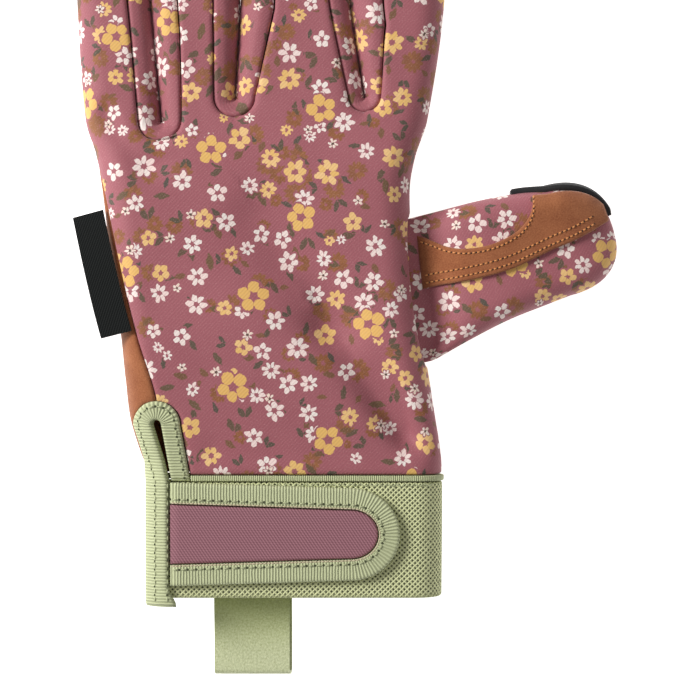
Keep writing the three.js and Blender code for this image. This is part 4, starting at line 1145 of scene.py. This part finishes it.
def edgePatch():
    roll, wall = thumbSizes["roll"], thumbSizes["edgeWall"]
    low = -thumbSizes["edgeUnder"] / roll
    high = (reachOf(roll, thumbSizes["edgeShown"]) - 2 * seamGap) / roll
    places = [lerp(thumbSizes["edgeFrom"] * thumbSizes["length"], thumbCap, t) for t in steps(16)]
    places += [lerp(thumbCap, thumbSizes["length"], math.sin(quarter * t * thumbSizes["edgeTo"]))
               for t in steps(24)[1:]]
    rows = []
    for at in places:
        row = []
        shown = ease(at, places[0], lerp(places[0], places[-1], 0.75))
        for share in steps(12):
            bend = lerp(low, lerp(low + (high - low) * 0.62, high, shown), share)
            reach = abs(bend) * thumbSleeve.rollAt(at)
            face = -1 if bend < 0 else 1
            row.append(onHand(thumbSleeve.point(at, 1, reach, face, wall, wall + seamGap)))
        rows.append(row)
    return rows


thumbSoft = {"sink": 4.4, "sinkWide": 15, "sinkEdge": 5, "uneven": 0.35, "unevenSize": 14, "unevenEdge": 6}


def saddleRelief(point, flat, away):
    # the patch lies on the thumb's cloth, far from that cloth's own edge
    return thumbRelief(point, flat, 9)


def thumbRelief(point, flat, away):
    # the thumb sinks towards the hand, and its cloth is a little uneven
    x, y, _ = point
    fromHand = x - handRight(clamp(y, holeY(0), holeY(1)))
    sink = thumbSoft["sink"] * (1 - ease(fromHand, 0, thumbSoft["sinkWide"]))
    uneven = thumbSoft["uneven"] * bumps(x, y, thumbSoft["unevenSize"], 2.2)
    return uneven * ease(away, 0, thumbSoft["unevenEdge"]) - sink * ease(away, 0, thumbSoft["sinkEdge"])


thumbTop = makeCloth("thumb_cloth", [thumbPatch(1, hand["clothWall"])], 0, 1, thumbRelief, jersey)
thumbUnder = makeCloth("thumb_suede", [thumbPatch(-1, hand["suedeWall"])], 0, 1, None, suede)
saddle = makeCloth("thumb_saddle", [saddlePatch()], 0.7, 0.9, saddleRelief, suede)
guardPiece = makeCloth("thumb_guard", [edgePatch()], 0.5, 0.6, None, guard)
print("thumb made")


# cuff, trim, vent binding and strap
def wristRow(y, wall, proud, start=0.0, end=0.0, columns=90):
    girth = handSleeve.girth(y)
    row = []
    for share in steps(columns):
        row.append(upright(handSleeve.fromLeft(y, max(girth * share, start), 1, wall, proud)))
    for share in steps(columns)[1:]:
        reach = girth * (1 - share)
        if share == 1:
            reach = end
        out, inner, flat = upright(handSleeve.fromLeft(y, reach, -1, wall, proud))
        row.append(((out[0], out[1], max(out[2], 0)), inner, (flat[0] + cuffSizes["underShift"], flat[1])))
    return row


cuffTop = rise(0) - seamGap
cuffFoot = rise(0) - cuffSizes["length"]
cuffRows = [wristRow(lerp(cuffFoot, cuffTop, t), cuffSizes["wall"], 0) for t in spaced(40, 0.6)]
trimRows = []
for t in spaced(10, 0.6):
    y = rise(0) + cuffSizes["trimHeight"] * t
    trimRows.append(wristRow(y, cuffSizes["trimWall"], cuffSizes["trimProud"],
                             leftEdge(y, 1), leftEdge(y, -1)))


def ventPatch():
    rampTop, onCuff = rise(0.06), seamGap + vent["wall"]
    foot = cuffFoot - vent["tail"]

    def proudAt(y):
        return lerp(vent["proud"], onCuff, clamp((rampTop - y) / (rampTop - rise(0))))

    def limb(y, side, run):
        row = []
        for share in spaced(14, 0.5):
            x = lerp(ventAxis(y) + side * ventHalf(y), bindingEdge(y, side), share)
            x += vent["flare"] * (1 - share) * (1 - ease(y, foot, foot + 5))
            proud = proudAt(y) if side < 0 else vent["proud"]
            out, inner, _ = upright(handSleeve.fromAbove(y, x, vent["wall"], proud))
            row.append((out, inner, (share * vent["binding"], run)))
        return row

    def bendRow(share, run):
        row = []
        for across in spaced(14, 0.5):
            turn, far = math.pi * (1 - share), vent["width"] / 2 + vent["binding"] * across
            x, y = ventTopX + far * math.cos(turn), ventTopY + far * math.sin(turn)
            out, inner, _ = upright(handSleeve.fromAbove(y, x, vent["wall"], vent["proud"]))
            row.append((out, inner, (across * vent["binding"], run)))
        return row

    count = 60
    rows = [limb(lerp(foot, ventTopY, t), -1, lerp(foot, ventTopY, t) - foot) for t in steps(count)[:-1]]
    arc = math.pi * (vent["width"] / 2 + vent["binding"] * 0.5)
    rows += [bendRow(t, ventTopY - foot + arc * t) for t in steps(36)]
    rows += [limb(lerp(ventTopY, rise(0), t), 1, ventTopY - foot + arc + (ventTopY - rise(0)) * t)
             for t in steps(16)[1:]]
    return rows


strap = {
    "length": 65.6, "width": 29.6, "endWidth": 26.4, "round": 14, "wall": 1.6,
    "binding": 6, "bindingWall": 2.1,
}
strapStart = ventFootX + seamGap
strapBend = strapStart + strap["length"] - strap["round"]
strapY = rise(0) - strap["width"] / 2 - seamGap


def strapEdge(t, side, margin):
    turn = quarter * clamp(t - 1)
    half = lerp(strap["width"], strap["endWidth"], min(t, 1)) / 2 - margin
    x = lerp(strapStart, strapBend, min(t, 1)) + (strap["round"] - margin) * math.sin(turn)
    return x, strapY + side * half * math.cos(turn)


def onCuffTop(x, y, wall):
    return upright(handSleeve.fromAbove(y, x, wall, wall + seamGap))


strapStops = steps(40) + [1 + t for t in steps(24)[1:]]


def strapPatch():
    rows = []
    for t in strapStops:
        low, high = (strapEdge(t, side, strap["binding"] + seamGap) for side in (-1, 1))
        rows.append([onCuffTop(low[0], lerp(low[1], high[1], share), strap["wall"])
                     for share in spaced(20, 0.6)])
    return rows


def strapBindingPatch():
    rows = []
    run, last = 0.0, None
    for t, side in [(t, -1) for t in strapStops] + [(t, 1) for t in reversed(strapStops)]:
        middle = strapEdge(t, side, strap["binding"] / 2)
        run += math.dist(middle, last) if last else 0.0
        last = middle
        row = []
        for share in spaced(14, 0.5):
            out, inner, _ = onCuffTop(*strapEdge(t, side, strap["binding"] * share), strap["bindingWall"])
            row.append((out, inner, (share * strap["binding"], run)))
        rows.append(row)
    return rows


cuff = makeCloth("cuff_mesh", [cuffRows], 0.4, 0.8, None, elasticCloth)
trim = makeCloth("cuff_trim_band", [trimRows], 0.3, 0.4, None, trimTape)
ventTape = makeCloth("vent_tape", [ventPatch()], 0.7, 0.9, None, tape)
strapInset = makeCloth("strap_inset", [strapPatch()], 0.4, 0.8, None, inset)
strapTape = makeCloth("strap_tape", [strapBindingPatch()], 0.7, 0.9, None, tape)
print("wrist made")

# side label and pull loop
label = {"width": 9.4, "length": 36, "wall": 1.0, "fall": 12, "rise": 43.2}
loop = {"width": 22, "length": 24, "tuck": 9, "space": 1.0, "centre": -5.2, "wall": 1.1, "askew": 0.35}


def labelPatch():
    def seamPoint(y):
        return upright(handSleeve.fromAbove(y, seamX(y), 0, label["wall"] + seamGap))[0]

    foot = rise(0) + label["rise"]
    low, high = seamPoint(foot), seamPoint(foot + label["length"])
    size = math.hypot(high[0] - low[0], high[1] - low[1])
    run = ((high[0] - low[0]) / size, (high[1] - low[1]) / size)
    slope = math.radians(label["fall"])
    rows = []
    for share in spaced(60, 0.3):
        start = seamPoint(foot + share * label["length"] * run[1])
        row = []
        for across in spaced(16, 0.3):
            far = across * label["width"]
            x, y = start[0] - far * run[1] * math.cos(slope), start[1] + far * run[0] * math.cos(slope)
            z = start[2] - far * math.sin(slope)
            row.append(((x, y, z), (x, y, z - label["wall"]), (far, share * label["length"])))
        rows.append(row)
    return rows


def loopPatch():
    half = (loop["wall"] + loop["space"]) / 2
    fold = half + loop["wall"] / 2 - loop["length"]
    line = [lerp(loop["tuck"], fold, t) for t in steps(44)]

    def middle(y):
        lift = ease(y, -loop["length"] / 2, -1) * cuffSizes["wall"]
        return lift + seamGap + loop["wall"] / 2 + half

    path = [(y, middle(y) - half, (0, -1)) for y in line]
    for t in steps(12)[1:-1]:
        lean = (-math.sin(math.pi * t), -math.cos(math.pi * t))
        path.append((fold + half * lean[0], middle(fold) + half * lean[1], lean))
    path += [(y, middle(y) + half, (0, 1)) for y in reversed(line)]
    rows, run, last = [], 0.0, None
    for y, z, lean in path:
        run += math.dist((y, z), last) if last else 0.0
        last = (y, z)
        row = []
        for share in spaced(24, 0.4):
            x = loop["centre"] + (share - 0.5) * loop["width"] - loop["askew"] * lean[1]
            out = (x, cuffFoot + y + lean[0] * loop["wall"] / 2, z + lean[1] * loop["wall"] / 2)
            inner = (x, cuffFoot + y - lean[0] * loop["wall"] / 2, z - lean[1] * loop["wall"] / 2)
            row.append((out, inner, ((share - 0.5) * loop["width"], run)))
        rows.append(row)
    return rows


labelPiece = makeCloth("side_label_cloth", [labelPatch()], 0, 1, None, labelCloth)
loopPiece = makeCloth("pull_loop_ribbon", [loopPatch()], 0, 1, None, ribbon)
print("label and loop made")


def sew(name, runs, cloths, looks, size):
    # lockstitches along runs of places, laid on the cloths as seen from above: threads, and dark discs of
    # painted shade for the needle holes
    surfaces = [BVHTree.FromPolygons([corner.co for corner in cloth.data.vertices],
                                     [face.vertices for face in cloth.data.polygons]) for cloth in cloths]
    corners, faces, kinds = [], [], []

    def heightAt(x, y):
        hits = [tree.ray_cast(Vector((x, y, 60)) * metre, Vector((0, 0, -1)))[0] for tree in surfaces]
        heights = [hit.z / metre for hit in hits if hit]
        return max(heights) if heights else None

    def ring(centre, side, radius):
        first = len(corners)
        for turn in range(6):
            angle = turn * math.tau / 6
            corners.append((centre[0] + side[0] * radius * math.cos(angle),
                            centre[1] + side[1] * radius * math.cos(angle),
                            centre[2] + radius * math.sin(angle)))
        return first

    def tube(rings):
        for first, second in zip(rings, rings[1:]):
            for k in range(6):
                faces.append((first + k, first + (k + 1) % 6, second + (k + 1) % 6, second + k))
                kinds.append(0)
        faces.append(tuple(rings[0] + k for k in reversed(range(6))))
        faces.append(tuple(rings[-1] + k for k in range(6)))
        kinds.extend((0, 0))

    # a dark disc of painted shade where a needle hole is
    def hole(x, y, z, radius):
        low = len(corners)
        for lift in (-0.3, 0.05):
            for turn in range(8):
                angle = turn * math.tau / 8
                corners.append((x + radius * math.cos(angle), y + radius * math.sin(angle), z + lift))
        for k in range(8):
            faces.append((low + k, low + (k + 1) % 8, low + 8 + (k + 1) % 8, low + 8 + k))
            kinds.append(1)
        faces.append(tuple(low + k for k in reversed(range(8))))
        faces.append(tuple(low + 8 + k for k in range(8)))
        kinds.extend((1, 1))

    for run in runs:
        lengths = [0.0]
        for a, b in zip(run, run[1:]):
            lengths.append(lengths[-1] + math.dist(a, b))
        count = max(int(lengths[-1] / size["pitch"]), 1)
        xs, ys = zip(*run)

        def placeAt(far):
            return float(np.interp(far, lengths, xs)), float(np.interp(far, lengths, ys))

        for k in range(count):
            start = (k + 0.5 - size["share"] / 2) * lengths[-1] / count
            end = (k + 0.5 + size["share"] / 2) * lengths[-1] / count
            a, b = placeAt(start), placeAt(end)
            if size.get("zigzag"):
                swing = size["zigzag"] if k % 2 else -size["zigzag"]
                a, b = (a[0], a[1] - swing), (b[0], b[1] + swing)
            heights = heightAt(*a), heightAt(*b)
            if None in heights:
                continue
            length = math.dist(a, b)
            side = ((a[1] - b[1]) / length, (b[0] - a[0]) / length)
            rings = []
            for t, radius, lift in ((0, 0.4, -0.4), (0.12, 0.85, 0.1), (0.35, 1, 0.35), (0.65, 1, 0.35),
                                    (0.88, 0.85, 0.1), (1, 0.4, -0.4)):
                middle = (lerp(a[0], b[0], t), lerp(a[1], b[1], t))
                z = heightAt(*middle)
                z = lerp(*heights, t) if z is None else z
                rings.append(ring((*middle, z + lift * size["thick"]), side, radius * size["thick"] / 2))
            tube(rings)
            if size["hole"]:
                x, y = placeAt((k + 1) * lengths[-1] / count)
                z = heightAt(x, y)
                if z is not None:
                    hole(x, y, z, size["hole"] / 2)
    made = bpy.data.meshes.new(name)
    made.from_pydata([(x * metre, y * metre, z * metre) for x, y, z in corners], [], faces)
    for look in looks:
        made.materials.append(look)
    made.polygons.foreach_set("material_index", kinds)
    made.validate()
    made.update()
    piece = bpy.data.objects.new(name, made)
    scene.collection.objects.link(piece)
    return piece


def patchLine(column, inset):
    # a line of places inside one edge of the thumb's suede patch, up to near its tip
    line = []
    for t in steps(60):
        up = lerp(0.01, 0.92, t) * thumbSizes["patch"][-1][0]
        low, high = (along(thumbSizes["patch"], up, side) * thumbSizes["width"] for side in (1, 2))
        across = low + inset if column == 1 else high - inset
        at = up * thumbSizes["length"] + rootAt(across) * max(1 - 3 * up, 0)
        out = onHand(thumbSleeve.fromAbove(at, across, 1, 1))[0]
        line.append((out[0], out[1]))
    return line


def ventLine(inset, onlyCuff=False):
    share = 1 - inset / vent["binding"]
    foot = cuffFoot - vent["tail"]
    line = []
    for t in steps(60):
        y = lerp(foot + 1, rise(0) if onlyCuff else ventTopY, t)
        line.append((lerp(ventAxis(y) - ventHalf(y), bindingEdge(y, -1), share), y))
    if onlyCuff:
        return line
    far = vent["width"] / 2 + vent["binding"] * share
    for t in steps(24)[1:]:
        turn = math.pi * (1 - t)
        line.append((ventTopX + far * math.cos(turn), ventTopY + far * math.sin(turn)))
    for t in steps(20)[1:]:
        y = lerp(ventTopY, rise(0) + 1, t)
        line.append((lerp(ventAxis(y) + ventHalf(y), bindingEdge(y, 1), share), y))
    return line


def strapLine(inset):
    return ([strapEdge(t, -1, inset) for t in strapStops]
            + [strapEdge(t, 1, inset) for t in reversed(strapStops)])


trimLine = [(lerp(strapStart + 2, handRight(rise(0)) - 3, t), rise(0) - 1.1) for t in steps(60)]
stitching = [
    sew("thumb_patch_stitches", [patchLine(2, 1.4), patchLine(1, 1.5), patchLine(1, 3.7)], [saddle],
        (orangeThread, needleHoleShade), {"pitch": 1.4, "share": 0.64, "thick": 0.46, "hole": 0.5}),
    sew("strap_stitches", [strapLine(strap["binding"] - 1.3)], [strapTape],
        (greenThread, tapeHoleShade), {"pitch": 2.4, "share": 0.56, "thick": 0.5, "hole": 0.75}),
    sew("strap_edge_cord", [strapLine(strap["binding"] - 0.25)], [strapTape],
        (paleThread, tapeHoleShade), {"pitch": 1.1, "share": 1.02, "thick": 0.4, "hole": 0}),
    sew("vent_stitches", [ventLine(1.4), ventLine(5.0, True)], [ventTape],
        (greenThread, tapeHoleShade), {"pitch": 2.4, "share": 0.56, "thick": 0.5, "hole": 0.75}),
    sew("cuff_zigzag", [trimLine], [cuff],
        (greenThread, tapeHoleShade), {"pitch": 1.3, "share": 0.95, "thick": 0.34, "hole": 0, "zigzag": 0.45}),
]
print("stitches made")


# floor and light
stage = {
    "glow": 0.9, "sky": 0.33, "floorDrop": 0.03, "floorHalf": 3,
    "lights": [("key_light", (-1.02, 0.48, 0.72), 0.5, 20), ("fill_light", (0.8, -0.3, 1.0), 1.2, 1.2)],
}


def setStage():
    mesh = bpy.data.meshes.new("floor")
    low, wide = stage["floorDrop"] * metre, stage["floorHalf"]
    mesh.from_pydata([(-wide, -wide, -low), (wide, -wide, -low), (wide, wide, -low), (-wide, wide, -low)],
                     [], [(0, 1, 2, 3)])
    floor = bpy.data.objects.new("floor", mesh)
    scene.collection.objects.link(floor)
    material, tree, shader = newMaterial("studio_paper", 0.9)
    shader.inputs["Base Color"].default_value = linear("#f4f4f4")
    shader.inputs["Emission Color"].default_value = linear("#ffffff")
    shader.inputs["Emission Strength"].default_value = stage["glow"]
    mesh.materials.append(material)
    world = bpy.data.worlds.new("studio")
    scene.world = world
    world.use_nodes = True
    world.node_tree.nodes["Background"].inputs["Color"].default_value = (1, 1, 1, 1)
    world.node_tree.nodes["Background"].inputs["Strength"].default_value = stage["sky"]
    for name, place, size, power in stage["lights"]:
        light = bpy.data.objects.new(name, bpy.data.lights.new(name, "AREA"))
        light.data.size = size
        light.data.energy = power
        light.location = place
        light.rotation_euler = (-Vector(place)).to_track_quat("-Z", "Y").to_euler()
        scene.collection.objects.link(light)


setStage()
scene.view_settings.view_transform = "Standard"

pieces = [
    (back, ["back_panel"], "floral_fabric"), (palm, ["palm_panel"], "suede"),
    (gussets[0], ["gusset_little_ring"], "floral_fabric"),
    (gussets[1], ["gusset_ring_middle"], "floral_fabric"),
    (gussets[2], ["gusset_middle_index"], "floral_fabric"),
    (thumbTop, ["thumb_back"], "floral_fabric"), (thumbUnder, ["thumb_palm"], "suede"),
    (saddle, ["thumb_patch"], "suede"), (guardPiece, ["thumb_edge"], "edge_guard"),
    (cuff, ["wrist_cuff"], "elastic_mesh"), (trim, ["cuff_trim"], "ribbed_binding"),
    (ventTape, ["vent_binding"], "ribbed_binding"), (strapInset, ["strap_panel"], "woven_inset"),
    (strapTape, ["strap_binding"], "ribbed_binding"), (labelPiece, ["side_label"], "woven_label"),
    (loopPiece, ["pull_loop"], "brushed_ribbon"),
]
for piece in stitching:
    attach(piece, "root")
for piece, nodes, slot in pieces:
    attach(piece, "root")
    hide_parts(*nodes)
